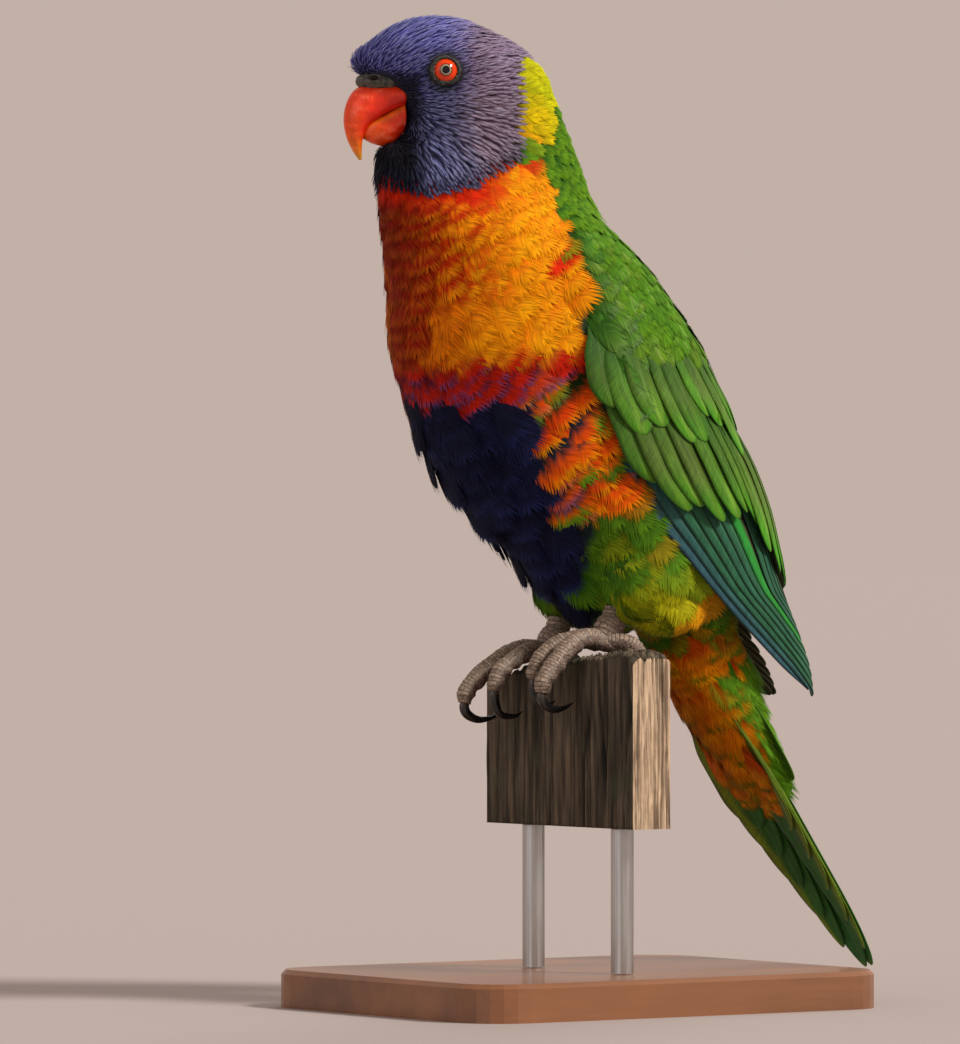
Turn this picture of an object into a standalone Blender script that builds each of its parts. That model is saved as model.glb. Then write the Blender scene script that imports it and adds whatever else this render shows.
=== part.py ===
"""A rainbow lorikeet, life size, gripping a cut length of weathered board on a plain display stand.

Metres, +Z up. The origin is the middle of the stand base's underside. The bird faces -Y and its left side is +X,
with its head turned to its right. Body sizes are set out in millimetres from the top of the perch, then moved up.
"""

import math

import bmesh
import bpy
import numpy as np

MM = 0.001
GAP = 0.3  # clearance between nodes that touch, in mm

# The stand and the perch
BASE_SIZE = (104.0, 132.0, 10.0)
BASE_CORNER = 14.0
BOARD_ENDS = (-26.0, 40.0)
BOARD_FACES = (-11.0, 1.0)
BOARD_DROP = 44.0
BOARD_TOP = ((-26.0, -6.6), (-19.0, -4.4), (-12.5, -3.2), (0.0, -1.0), (13.0, 0.4), (26.0, 1.4), (36.0, 2.6), (40.0, 0.8))
ROD_RADIUS, ROD_SPREAD = 3.0, 20.0
TAIL_CLEARANCE = 8.0

# The bird
TAIL_LENGTH = 118.0
TAIL_TILT = math.radians(34.5)
HEAD_TURN = math.radians(20.0)
HEAD_MIDDLE = (-1.9, -40.4)
EYE_RADIUS = 4.1
EYE_PLACE = (4.0, 12.6, 153.2)  # forward, sideways and up, in the head's own axes
VANE_THICK = 0.5

TAIL_ROOT = np.array([0.0, 30.5, 13.0])
TAIL_WAY = np.array([0.0, math.sin(TAIL_TILT), -math.cos(TAIL_TILT)])
TAIL_BACK = np.array([0.0, math.cos(TAIL_TILT), math.sin(TAIL_TILT)])
PERCH_TOP = TAIL_CLEARANCE - (TAIL_ROOT + TAIL_WAY * TAIL_LENGTH)[2]

# Level sections of the body from the crown to the vent. Each row: x, y, z of the middle, share of HEAD_TURN,
# reach forward, reach back, half width, narrowing forward.
BODY = np.array([
    (-2.0, -44.6, 168.6, 1.0, 0.5, 0.5, 0.4, 0.0),
    (-2.0, -44.5, 167.7, 1.0, 7.0, 7.4, 5.6, 0.0),
    (-2.0, -44.2, 165.6, 1.0, 12.6, 12.6, 9.2, 0.0),
    (-1.9, -43.2, 162.3, 1.0, 18.6, 18.9, 12.4, 0.06),
    (-1.9, -41.9, 158.6, 1.0, 23.2, 23.2, 14.6, 0.12),
    (-1.9, -40.9, 155.0, 1.0, 25.4, 25.2, 15.7, 0.18),
    (-1.9, -40.0, 151.6, 1.0, 22.5, 26.4, 16.2, 0.20),
    (-1.8, -39.4, 147.5, 1.0, 17.0, 27.4, 16.7, 0.18),
    (-1.6, -38.6, 142.0, 1.0, 14.2, 28.8, 17.2, 0.12),
    (-1.4, -37.5, 136.5, 0.95, 15.6, 30.0, 17.9, 0.08),
    (-1.1, -35.8, 131.8, 0.85, 22.0, 30.2, 18.8, 0.06),
    (-0.7, -33.2, 127.0, 0.6, 27.4, 30.4, 20.2, 0.03),
    (-0.3, -30.2, 120.5, 0.3, 30.2, 31.4, 22.6, 0.0),
    (0.0, -27.5, 114.0, 0.0, 32.8, 33.4, 25.5, 0.0),
    (0.0, -21.0, 103.2, 0.0, 37.2, 36.0, 29.0, 0.0),
    (0.0, -16.0, 92.5, 0.0, 41.1, 38.6, 31.0, 0.0),
    (0.0, -11.0, 81.7, 0.0, 45.9, 42.0, 32.0, 0.0),
    (0.0, -5.5, 71.0, 0.0, 48.0, 41.6, 32.0, 0.0),
    (0.0, 0.0, 60.2, 0.0, 49.2, 41.4, 31.5, 0.0),
    (0.0, 6.5, 49.5, 0.0, 49.2, 40.4, 30.5, 0.0),
    (0.0, 14.0, 38.7, 0.0, 46.0, 36.6, 29.0, 0.0),
    (0.0, 21.0, 28.0, 0.0, 40.6, 31.4, 27.0, 0.0),
    (0.0, 26.5, 18.6, 0.0, 36.6, 26.6, 23.5, 0.0),
    (0.0, 28.0, 11.8, 0.0, 31.5, 21.5, 18.6, 0.0),
    (0.0, 27.5, 8.4, 0.0, 23.0, 14.0, 12.0, 0.0),
    (0.0, 27.0, 7.4, 0.0, 9.0, 6.0, 5.0, 0.0),
], float)
HEAD_END, NECK_END = 10.1, 12.3  # where in BODY the head and the neck end
BODY_END = len(BODY) - 1.0

# Level sections of a folded wing from the shoulder to the tip. Each row: y, z of the middle, half width,
# reach back, reach forward, and the angles of the front and rear edges from the bird's front, in degrees.
WING = np.array([
    (-30.0, 119.5, 24.2, 31.6, 31.0, 113.0, 128.0),
    (-27.5, 114.0, 27.2, 34.0, 33.0, 101.0, 139.0),
    (-21.0, 103.2, 31.2, 38.2, 37.3, 88.0, 149.0),
    (-16.0, 92.5, 33.2, 42.0, 41.1, 82.0, 156.0),
    (-11.0, 81.7, 34.4, 45.8, 46.4, 78.0, 161.0),
    (-5.5, 71.0, 34.4, 45.8, 47.6, 73.5, 165.0),
    (0.0, 60.2, 34.0, 46.2, 48.2, 72.5, 167.5),
    (6.5, 49.5, 33.0, 46.0, 48.2, 72.0, 169.0),
    (14.0, 38.7, 31.2, 43.2, 44.2, 73.0, 169.0),
    (21.5, 28.0, 28.6, 39.2, 38.0, 78.5, 168.0),
    (29.5, 17.2, 25.6, 35.2, 31.5, 85.0, 166.0),
    (39.5, 6.5, 22.0, 30.6, 26.0, 92.0, 162.0),
    (49.0, -3.2, 18.6, 25.4, 21.0, 102.5, 157.0),
    (56.5, -11.0, 15.0, 19.6, 16.5, 120.0, 149.0),
], float)
WING_ROWS = len(WING) - 1.0

# Rows along the tail for its bulk of small feathers: distance, reach below, reach above, half width
TAIL_BULK = np.array([
    (-5.0, 5.0, 6.0, 5.0),
    (-3.0, 9.0, 11.0, 9.0),
    (2.0, 11.0, 14.0, 11.6),
    (10.0, 11.8, 13.0, 12.6),
    (20.0, 11.6, 9.8, 12.4),
    (30.0, 9.8, 7.0, 11.4),
    (39.0, 7.4, 4.8, 10.0),
    (45.0, 5.8, 3.4, 8.4),
    (47.0, 3.0, 1.6, 4.6),
], float)


def spline(rows, at):
    """The row of numbers at a fractional place in rows, on a smooth curve through all of them."""
    rows = np.asarray(rows, float)
    i = int(min(max(math.floor(at), 0), len(rows) - 2))
    f = at - i
    a, b = rows[i], rows[i + 1]
    before = rows[i - 1] if i > 0 else 2 * a - b
    after = rows[i + 2] if i + 2 < len(rows) else 2 * b - a
    return (
        a
        + 0.5 * f * (b - before)
        + f * f * (before - 2.5 * a + 2 * b - 0.5 * after)
        + f ** 3 * (1.5 * (a - b) + 0.5 * (after - before))
    )


def level_axes(turn):
    """Forward and left directions of a level section turned towards the bird's right."""
    return np.array([-math.sin(turn), -math.cos(turn), 0.0]), np.array([math.cos(turn), -math.sin(turn), 0.0])


def body_point(at, angle):
    """A point of the body's surface: at is a place in BODY, angle runs from the front round the left side."""
    x, y, z, turn, front, back, half, narrow = spline(BODY, at)
    forward, side = level_axes(turn * HEAD_TURN)
    c, s = math.cos(angle), math.sin(angle)
    reach = front if c > 0 else back
    return np.array([x, y, z]) + forward * reach * c + side * half * s * (1 - narrow * c)


def head_point(forward, side, up):
    """A point given in the head's own axes."""
    ahead, left = level_axes(HEAD_TURN)
    return np.array([*HEAD_MIDDLE, 0.0]) + ahead * forward + left * side + np.array([0.0, 0.0, up])


def wing_surface(side, at, across):
    """A point of the folded wing's outer surface: at is a place in WING, across runs from front to rear edge."""
    y, z, half, back, front, first, last = spline(WING, at)
    angle = math.radians(first + (last - first) * across)
    c = math.cos(angle)
    reach = front if c > 0 else back
    return np.array([side * half * math.sin(angle), y - reach * c, z])


def wing_point(side, at, across, height):
    """A point height mm outside the wing's outer surface."""
    along = wing_surface(side, at + 0.05, across) - wing_surface(side, at - 0.05, across)
    over = wing_surface(side, at, across + 0.02) - wing_surface(side, at, across - 0.02)
    normal = np.cross(along, over) * side
    return wing_surface(side, at, across) + normal / np.linalg.norm(normal) * height


def tail_point(distance, sideways, height):
    """A point in the tail's own axes: down the tail, to the left, and up from it towards the back."""
    return TAIL_ROOT + TAIL_WAY * distance + TAIL_BACK * height + np.array([sideways, 0.0, 0.0])


def clear_scene():
    for obj in list(bpy.data.objects):
        bpy.data.objects.remove(obj, do_unlink=True)


def material(name, colour, roughness, metallic=0.0):
    made = bpy.data.materials.new(name)
    made.use_nodes = True
    shader = made.node_tree.nodes["Principled BSDF"]
    shader.inputs["Base Color"].default_value = (*colour, 1.0)
    shader.inputs["Roughness"].default_value = roughness
    shader.inputs["Metallic"].default_value = metallic
    made.diffuse_color = (*colour, 1.0)
    return made


def mesh_object(name, points, faces, finish=None, lift=True):
    """A mesh object from points in millimetres, measured from the perch's top unless lift is False."""
    points = np.array(points, float) * MM
    if lift:
        points[:, 2] += PERCH_TOP * MM
    mesh = bpy.data.meshes.new(name)
    mesh.from_pydata([tuple(p) for p in points], [], [tuple(f) for f in faces])
    mesh.update()
    made = bpy.data.objects.new(name, mesh)
    bpy.context.scene.collection.objects.link(made)
    if finish:
        mesh.materials.append(finish)
    return made


def ring_faces(count, sides, paired=False):
    """Triangles over count rings of sides points each, with both ends closed. paired closes the ends of rings
    that are thin strips, whose first half runs out along one face and second half back along the other."""
    faces = []
    for i in range(count - 1):
        for j in range(sides):
            k = (j + 1) % sides
            a, b, c, d = i * sides + j, i * sides + k, (i + 1) * sides + k, (i + 1) * sides + j
            faces += [(a, b, c), (a, c, d)]
    for first in (0, (count - 1) * sides):
        if paired:
            for j in range(sides // 2 - 1):
                a, b, c, d = first + j, first + j + 1, first + sides - 2 - j, first + sides - 1 - j
                faces += [(a, b, c), (a, c, d)]
        else:
            faces += [(first, first + j, first + j + 1) for j in range(1, sides - 1)]
    return faces


def outward(obj):
    """Turns the faces of a closed mesh outwards."""
    work = bmesh.new()
    work.from_mesh(obj.data)
    bmesh.ops.recalc_face_normals(work, faces=work.faces)
    if work.calc_volume(signed=True) < 0:
        bmesh.ops.reverse_faces(work, faces=work.faces)
    work.to_mesh(obj.data)
    work.free()
    return obj


def solid(name, rings, finish=None, lift=True, paired=False):
    """A closed solid through rings of points, all with the same number of points."""
    faces = ring_faces(len(rings), len(rings[0]), paired)
    return outward(mesh_object(name, np.concatenate(rings), faces, finish, lift))


def ball(name, middle, radii, axes=None, sides=16, finish=None):
    """An ellipsoid, its radii along the three axes given, or along x, y and z."""
    axes = np.eye(3) if axes is None else np.array(axes, float)
    rings = []
    steps = max(6, sides // 2)
    for i in range(steps + 1):
        polar = math.pi * (0.02 + 0.96 * i / steps)
        ring = []
        for j in range(sides):
            around = 2 * math.pi * j / sides
            local = (
                radii[0] * math.sin(polar) * math.cos(around),
                radii[1] * math.sin(polar) * math.sin(around),
                radii[2] * math.cos(polar),
            )
            ring.append(np.array(middle) + local @ axes)
        rings.append(np.array(ring))
    return solid(name, rings, finish)


def tube(name, path, radii, sides=8, flatten=1.0, up=(1.0, 0.0, 0.0), finish=None, lift=True):
    """A solid tube along path. flatten scales it along up."""
    path = np.array(path, float)
    rings = []
    for i, middle in enumerate(path):
        way = path[min(i + 1, len(path) - 1)] - path[max(i - 1, 0)]
        way /= np.linalg.norm(way)
        side = np.cross(way, up)
        side /= np.linalg.norm(side)
        top = np.cross(side, way)
        turns = [2 * math.pi * j / sides for j in range(sides)]
        rings.append(
            np.array([middle + radii[i] * (side * math.cos(a) + top * flatten * math.sin(a)) for a in turns])
        )
    return solid(name, rings, finish, lift)


def vane(place, stations, thick=VANE_THICK):
    """One feather as a thin closed blade. place turns along, across and height into a point. Each station is
    a row of along, across, half width in the units of across, height of the outer face, and its fall across
    the half width."""
    faces, count = [], len(stations)
    points = []
    for drop in (0.0, thick):
        for i, (along, across, half, height, fall) in enumerate(stations):
            thin = 0.6 if i == count - 1 else 1.0
            for q in (-1.0, 0.0, 1.0):
                points.append(place(along, across + q * half, height - q * fall - drop * thin))
    under = 3 * count
    for i in range(count - 1):
        for j in range(2):
            a, b, c, d = 3 * i + j, 3 * i + j + 1, 3 * i + j + 4, 3 * i + j + 3
            faces += [(a, b, c), (a, c, d), (under + a, under + c, under + b), (under + a, under + d, under + c)]
        for j in (0, 2):
            a, b = 3 * i + j, 3 * i + j + 3
            faces += [(a, b, under + b), (a, under + b, under + a)]
    for i in (0, count - 1):
        for j in range(2):
            a = 3 * i + j
            faces += [(a, a + 1, under + a + 1), (a, under + a + 1, under + a)]
    return outward(mesh_object("vane", points, faces))


def apply_modifiers(obj):
    graph = bpy.context.evaluated_depsgraph_get()
    made = bpy.data.meshes.new_from_object(obj.evaluated_get(graph))
    old = obj.data
    obj.modifiers.clear()
    obj.data = made
    made.name = old.name
    bpy.data.meshes.remove(old)


def keep_largest(obj):
    """Leaves only the largest closed surface of a mesh."""
    work = bmesh.new()
    work.from_mesh(obj.data)
    bmesh.ops.triangulate(work, faces=work.faces)
    left, shells = set(work.faces), []
    while left:
        stack, shell = [left.pop()], []
        while stack:
            face = stack.pop()
            shell.append(face)
            for edge in face.edges:
                for other in edge.link_faces:
                    if other in left:
                        left.remove(other)
                        stack.append(other)
        shells.append(shell)

    def size(shell):
        return abs(sum(f.verts[0].co.dot(f.verts[1].co.cross(f.verts[2].co)) for f in shell))

    shells.sort(key=size)
    for shell in shells[:-1]:
        bmesh.ops.delete(work, geom=shell, context="FACES")
    loose = [v for v in work.verts if not v.link_faces]
    bmesh.ops.delete(work, geom=loose, context="VERTS")
    work.to_mesh(obj.data)
    work.free()
    return obj


def joined(name, pieces, finish, solver="EXACT"):
    """One solid from overlapping closed pieces, by one Boolean union on their collection."""
    group = bpy.data.collections.new(name + "_pieces")
    bpy.context.scene.collection.children.link(group)
    first, others = pieces[0], pieces[1:]
    for piece in others:
        bpy.context.scene.collection.objects.unlink(piece)
        group.objects.link(piece)
    union = first.modifiers.new("union", "BOOLEAN")
    union.operation = "UNION"
    union.operand_type = "COLLECTION"
    union.collection = group
    union.solver = solver
    apply_modifiers(first)
    for piece in others:
        bpy.data.objects.remove(piece, do_unlink=True)
    bpy.data.collections.remove(group)
    first.name = name
    first.data.materials.clear()
    first.data.materials.append(finish)
    return keep_largest(first)


def grown(obj, gap=GAP):
    """A copy of obj with its surface moved outwards by gap, in mm."""
    copy = obj.copy()
    copy.data = obj.data.copy()
    bpy.context.scene.collection.objects.link(copy)
    normals = [v.normal.copy() for v in copy.data.vertices]
    for vertex, normal in zip(copy.data.vertices, normals):
        vertex.co += normal * gap * MM
    return copy


def cut(obj, *cutters, solver="EXACT"):
    """Takes the cutters out of obj and removes them. Keeps the largest piece of what is left."""
    for cutter in cutters:
        cutter.hide_render = True
        cutter.display_type = "WIRE"
        taken = obj.modifiers.new("cut", "BOOLEAN")
        taken.operation = "DIFFERENCE"
        taken.object = cutter
        taken.solver = solver
        apply_modifiers(obj)
        bpy.data.objects.remove(cutter, do_unlink=True)
    return keep_largest(obj)


def body_length(name, start, end, rings, sides, finish):
    """A solid length of the body between two places in BODY."""
    made = []
    for i in range(rings):
        at = start + (end - start) * i / (rings - 1)
        made.append(np.array([body_point(at, 2 * math.pi * (j + 0.5) / sides) for j in range(sides)]))
    return solid(name, made, finish)


# The bill, in the head's own axes: rows of forward and up for the outer curve and the inner curve, and half width
UPPER_BILL = np.array([
    (13.0, 152.0, 12.4, 144.6, 5.4),
    (19.5, 151.0, 15.0, 143.6, 5.5),
    (24.6, 149.2, 17.8, 142.0, 5.0),
    (27.2, 145.6, 20.2, 140.4, 4.3),
    (28.1, 141.0, 22.2, 138.6, 3.4),
    (27.4, 136.6, 23.2, 136.0, 2.5),
    (25.8, 133.0, 23.4, 133.2, 1.5),
    (24.0, 130.4, 23.3, 130.6, 0.5),
])
LOWER_BILL = np.array([
    (12.4, 137.4, 12.6, 145.4, 4.9),
    (14.6, 135.0, 15.2, 144.0, 4.9),
    (17.2, 134.2, 18.0, 142.4, 4.5),
    (20.0, 134.6, 20.6, 140.9, 3.7),
    (22.2, 135.6, 22.4, 139.4, 2.5),
    (23.3, 136.2, 23.1, 138.0, 1.2),
])


def bill_half(name, rows, finish=None, spare=0.0, rings=14, sides=14):
    """One half of the bill: an oval section swings from the outer curve to the inner one. spare widens it."""
    made = []
    for i in range(rings):
        row = spline(rows, (len(rows) - 1) * i / (rings - 1))
        outer, inner, half = row[0:2], row[2:4], row[4]
        middle, reach = (outer + inner) / 2, (outer - inner) / 2
        reach = reach * (1 + spare / np.linalg.norm(reach))
        half += spare
        ring = []
        for j in range(sides):
            a = 2 * math.pi * j / sides
            ahead, up = middle + reach * math.cos(a)
            ring.append(head_point(ahead, half * math.sin(a) * (1 - 0.22 * math.cos(a)), up))
        made.append(np.array(ring))
    return solid(name, made, finish)


def head_axes():
    ahead, left = level_axes(HEAD_TURN)
    return ahead, left, (0.0, 0.0, 1.0)


def cere_ball(name, finish=None, spare=0.0):
    """The whole round of bare skin over the bill's root."""
    radii = (7.9 + spare, 5.9 + spare, 4.1 + spare)
    return ball(name, head_point(19.2, 0.0, 151.0), radii, head_axes(), 16, finish)


def nostril(side):
    return ball("nostril", head_point(21.4, side * 5.5, 152.6), (1.5, 1.7, 1.0), head_axes(), 8)


def eye_axes(side):
    """The eye's own axes: across, up and out of the head."""
    ahead, left = level_axes(HEAD_TURN)
    out = left * side + ahead * 0.22 + np.array([0.0, 0.0, 0.06])
    out /= np.linalg.norm(out)
    across = np.cross((0.0, 0.0, 1.0), out)
    across /= np.linalg.norm(across)
    return across, np.cross(out, across), out


def lid_ring(side):
    """The bare ring of lids round an eye, as a solid to fuse to the head."""
    forward, apart, up = EYE_PLACE
    across, rise, out = eye_axes(side)
    middle = head_point(forward, side * apart, up)
    count, sides = 16, 5
    points = []
    for i in range(count):
        a = 2 * math.pi * i / count
        way = across * math.cos(a) + rise * math.sin(a) * 0.96
        centre = middle + way * 3.75 + out * 1.5
        for j in range(sides):
            b = 2 * math.pi * j / sides
            points.append(centre + way * 1.0 * math.cos(b) + out * 1.0 * math.sin(b))
    faces = []
    for i in range(count):
        for j in range(sides):
            a, b = i * sides + j, i * sides + (j + 1) % sides
            c, d = ((i + 1) % count) * sides + (j + 1) % sides, ((i + 1) % count) * sides + j
            faces += [(a, b, c), (a, c, d)]
    return outward(mesh_object("lid", points, faces))


def eyeball(name, side, finish=None, spare=0.0):
    """The eye, with the front of it a little flatter than a ball."""
    forward, apart, up = EYE_PLACE
    radii = (EYE_RADIUS + spare, EYE_RADIUS + spare, EYE_RADIUS * 0.96 + spare)
    return ball(name, head_point(forward, side * apart, up), radii, eye_axes(side), 16, finish)


def head(finish):
    """The head, with seats for the eyes, the bill and the cere, and with raised lids round the eyes."""
    skull = body_length("skull", 0.0, HEAD_END, 17, 22, finish)
    made = joined("head", [skull, lid_ring(1), lid_ring(-1)], finish)
    seats = [
        bill_half("upper_seat", UPPER_BILL, spare=GAP, rings=10, sides=12),
        bill_half("lower_seat", LOWER_BILL, spare=GAP, rings=8, sides=10),
        cere_ball("cere_seat", spare=GAP),
        eyeball("left_socket", 1, spare=GAP),
        eyeball("right_socket", -1, spare=GAP),
    ]
    return cut(made, *seats)


def ramp(x, *pairs):
    """A value that runs straight between the (x, value) pairs."""
    return float(np.interp(x, [p[0] for p in pairs], [p[1] for p in pairs]))


def wing_span(at):
    """The width of the folded wing's outer surface, in mm."""
    points = [wing_surface(1, at, k / 12) for k in range(13)]
    return sum(np.linalg.norm(b - a) for a, b in zip(points, points[1:]))


def quill_line(at):
    """How far apart the centres of neighbouring flight feathers are, as a share of the wing's width."""
    return ramp(at, (6.0, 0.077), (10.0, 0.073), (11.2, 0.098), (12.2, 0.14), (13.2, 0.175))


def wing_core(side):
    """The shell of the wing that the feathers grow from."""
    rings = []
    steps = 9
    for i in range(steps):
        at = 0.25 + 7.15 * i / (steps - 1)
        top = ramp(at, (0.2, -1.2), (2.0, -0.6), (3.6, -0.9), (5.0, -1.7), (6.4, -2.7), (7.4, -3.3))
        low = ramp(at, (0.2, -2.2), (1.5, -4.0), (5.0, -4.8), (6.6, -4.8), (7.4, -4.2))
        ring = [wing_point(side, at, t, top) for t in (0.0, 0.17, 0.34, 0.5, 0.66, 0.83, 1.0)]
        ring += [
            wing_point(side, at, t, top + (low - top) * depth)
            for t, depth in ((1.0, 0.45), (0.83, 0.9), (0.66, 1.0), (0.5, 1.0), (0.34, 1.0), (0.17, 0.9), (0.0, 0.45))
        ]
        rings.append(np.array(ring))
    return solid("core", rings, paired=True)


def wing_vane(side, line, first, last, width, heights, pitch, shape):
    """A feather along the wing. line gives its centre across the wing at each place along it. heights are the
    (place, height) pairs of its outer face, and pitch is how far its neighbours are, in mm."""
    stations = []
    for share, wide in shape:
        at = first + (last - first) * share
        span = wing_span(at)
        half = 0.5 * width * wide
        fall = half * min(0.34, 0.86 / pitch(at))
        stations.append((at, line(at), half / span, ramp(at, *heights) - (0.5 * width - half) * 0.1, fall))
    return vane(lambda a, b, h: wing_point(side, a, b, h), stations)


LONG_SHAPE = ((0.0, 0.5), (0.35, 0.9), (0.68, 1.0), (0.9, 0.72), (1.0, 0.2))
SHORT_SHAPE = ((0.0, 0.5), (0.5, 0.95), (0.85, 0.9), (1.0, 0.35))
QUILL_TIPS = (12.75, 13.0, 12.95, 12.6, 12.2, 11.8, 11.4, 11.0, 10.7, 10.5, 10.35, 10.2)


def wing(name, side, finish):
    """A folded wing: its shell, flight feathers, long inner feathers, and two tiers of coverts."""
    pieces = [wing_core(side)]
    heights = ((6.0, -3.9), (7.4, -3.0), (8.4, -2.5), (9.5, -2.3), (11.0, -0.4), (13.0, -0.2))
    for k, tip in enumerate(QUILL_TIPS):
        pieces.append(wing_vane(
            side, lambda at, k=k: 4.6 / wing_span(at) + k * quill_line(at), 6.3, tip, 8.8, heights,
            lambda at: quill_line(at) * wing_span(at), LONG_SHAPE,
        ))
    for k in range(3):
        pieces.append(wing_vane(
            side, lambda at, k=k: 0.60 + 0.135 * k, 5.3, 9.6 - 0.15 * abs(k - 1), 11.0,
            ((5.3, -3.2), (6.2, -1.4), (8.0, -0.3), (9.6, 0.0)), lambda at: 0.135 * wing_span(at), LONG_SHAPE,
        ))
    for k in range(6):
        pieces.append(wing_vane(
            side, lambda at, k=k: 4.6 / wing_span(at) + 0.092 * k, 5.0 + 0.06 * k, 7.75 + 0.19 * k, 8.6,
            ((5.0, -3.0), (6.0, -1.4), (8.0, -0.2), (9.0, 0.0)), lambda at: 0.092 * wing_span(at), LONG_SHAPE,
        ))
    for k in range(7):
        pieces.append(wing_vane(
            side, lambda at, k=k: 5.6 / wing_span(at) + 0.135 * k, 3.2, 5.45 + 0.12 * k, 10.4,
            ((3.2, -2.0), (4.2, -0.3), (6.0, 0.5)), lambda at: 0.135 * wing_span(at), SHORT_SHAPE,
        ))
    return joined(name, pieces, finish)


def wing_seat(side):
    """What the body leaves free for a wing: the wing's shell with room round it, open to the outside."""
    rings = []
    for i in range(15):
        at = -0.1 + (WING_ROWS + 0.1) * i / 14
        deep = ramp(at, (-0.1, 2.6), (1.5, 4.7), (5.0, 5.8), (13.0, 6.0))
        ring = [wing_point(side, at, t, 5.0) for t in (-0.02, 0.17, 0.4, 0.6, 0.83, 1.015)]
        ring += [
            wing_point(side, at, t, -deep * share)
            for t, share in ((1.015, 0.75), (0.83, 0.97), (0.6, 1.0), (0.4, 1.0), (0.17, 0.97), (-0.02, 0.75))
        ]
        rings.append(np.array(ring))
    return solid("wing_seat", rings, paired=True)


def thigh(name, side, finish):
    """The feathered thigh, a rounded body that comes out of the flank."""
    lean = math.radians(24.0)
    axes = (
        (1.0, 0.0, 0.0),
        (0.0, math.cos(lean), -math.sin(lean)),
        (0.0, math.sin(lean), math.cos(lean)),
    )
    return ball(name, (side * 16.8, 11.0, 25.0), (9.4, 14.0, 17.0), axes, 16, finish)


# The toes, for the left foot: points of x, y, z from the foot's own place, and radii
TOES = {
    "outer_front": (((0.2, -1.0, 4.4), (1.2, -7.2, 5.2), (2.0, -12.8, 2.9), (2.6, -17.4, -1.2), (3.0, -21.4, -5.6),
                     (3.0, -22.2, -9.0)), 2.6),
    "inner_front": (((-0.4, -1.0, 4.2), (-2.6, -6.4, 5.2), (-4.4, -12.2, 3.4), (-5.2, -16.4, 0.2), (-5.4, -18.6, -3.4),
                     (-5.4, -18.8, -5.6)), 2.3),
    "outer_hind": (((0.5, -1.0, 3.8), (4.0, 3.4, 4.2), (5.6, 7.0, 1.6), (6.0, 8.2, -3.4), (6.0, 7.8, -7.4)), 2.3),
    "inner_hind": (((-0.5, -1.0, 3.8), (-2.6, 3.2, 4.2), (-3.6, 6.4, 1.4), (-3.8, 7.2, -2.6)), 2.0),
}
CLAWS = {
    "outer_front": ((3.0, -22.2, -10.4), (3.0, -21.0, -12.2), (3.0, -18.2, -13.4), (3.0, -15.0, -13.0), (3.0, -12.0, -11.6)),
    "inner_front": ((-5.4, -18.8, -7.2), (-5.4, -18.4, -9.6), (-5.4, -16.8, -12.0), (-5.4, -13.8, -12.4), (-5.4, -12.0, -11.2)),
    "outer_hind": ((6.0, 7.6, -9.0), (6.0, 7.0, -11.6), (6.0, 5.0, -13.6), (6.0, 3.3, -14.0), (6.0, 2.6, -13.4)),
    "inner_hind": ((-3.8, 7.1, -4.2), (-3.8, 6.7, -6.6), (-3.8, 5.0, -8.6), (-3.8, 3.4, -9.2), (-3.8, 2.6, -8.7)),
}
FOOT_PLACES = {"left": (12.5, -0.4, 0.3), "right": (-12.5, -0.8, -2.9)}
FRONT_REACH = {"left": 1.0, "right": 1.12}


def foot_point(which, point):
    """A point of a foot from its place, mirrored for the right foot, whose front toes reach farther."""
    side = 1 if which == "left" else -1
    x, y, z = point
    reach = FRONT_REACH[which] if -16.0 > y else 1 + (FRONT_REACH[which] - 1) * min(max((-y - 12.0) / 4.0, 0.0), 1.0)
    return np.array(FOOT_PLACES[which]) + np.array([side * x, y * reach, z])


def bend(points, count):
    """count points on a smooth curve through the points given."""
    return [spline(points, (len(points) - 1) * i / (count - 1)) for i in range(count)]


def foot(name, which, finish):
    """The short bare shank and four toes, two forward and two back."""
    shank = bend([foot_point(which, p) for p in ((0.0, 3.6, 13.5), (0.0, 2.8, 9.6), (0.0, 0.6, 6.6), (0.0, -1.2, 3.5))], 6)
    pieces = [
        tube("shank", shank, [2.6, 3.1, 3.7, 3.7, 3.2, 2.3], 8),
        ball("pad", foot_point(which, (0.2, 0.4, 4.3)), (3.8, 4.6, 3.0), None, 10),
    ]
    for points, radius in TOES.values():
        path = bend([foot_point(which, p) for p in points], 9)
        joints = [1.05, 1.0, 0.92, 1.0, 0.9, 0.97, 0.86, 0.88, 0.6]
        pieces.append(tube("toe", path, [radius * j for j in joints], 8))
    return joined(name, pieces, finish)


def claw(name, which, toe, finish):
    """A curved claw with an oval section."""
    path = bend([foot_point(which, p) for p in CLAWS[toe]], 8)
    radii = [1.0, 1.38, 1.36, 1.22, 1.02, 0.78, 0.5, 0.16]
    return tube(name, path, radii, 7, flatten=0.8, finish=finish)


def tail_vane(along, outer, inner, top, droop):
    """A tail feather between its inner and outer edges, in mm. Each row of along: distance, share of width."""
    stations = []
    for distance, wide in along:
        stations.append((distance, 0.5 * (outer + inner), 0.5 * abs(outer - inner) * wide, top, 0.0))
    return vane(lambda a, b, h: tail_point(a, b, h - droop * (b / 12.0) ** 2), stations)


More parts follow.
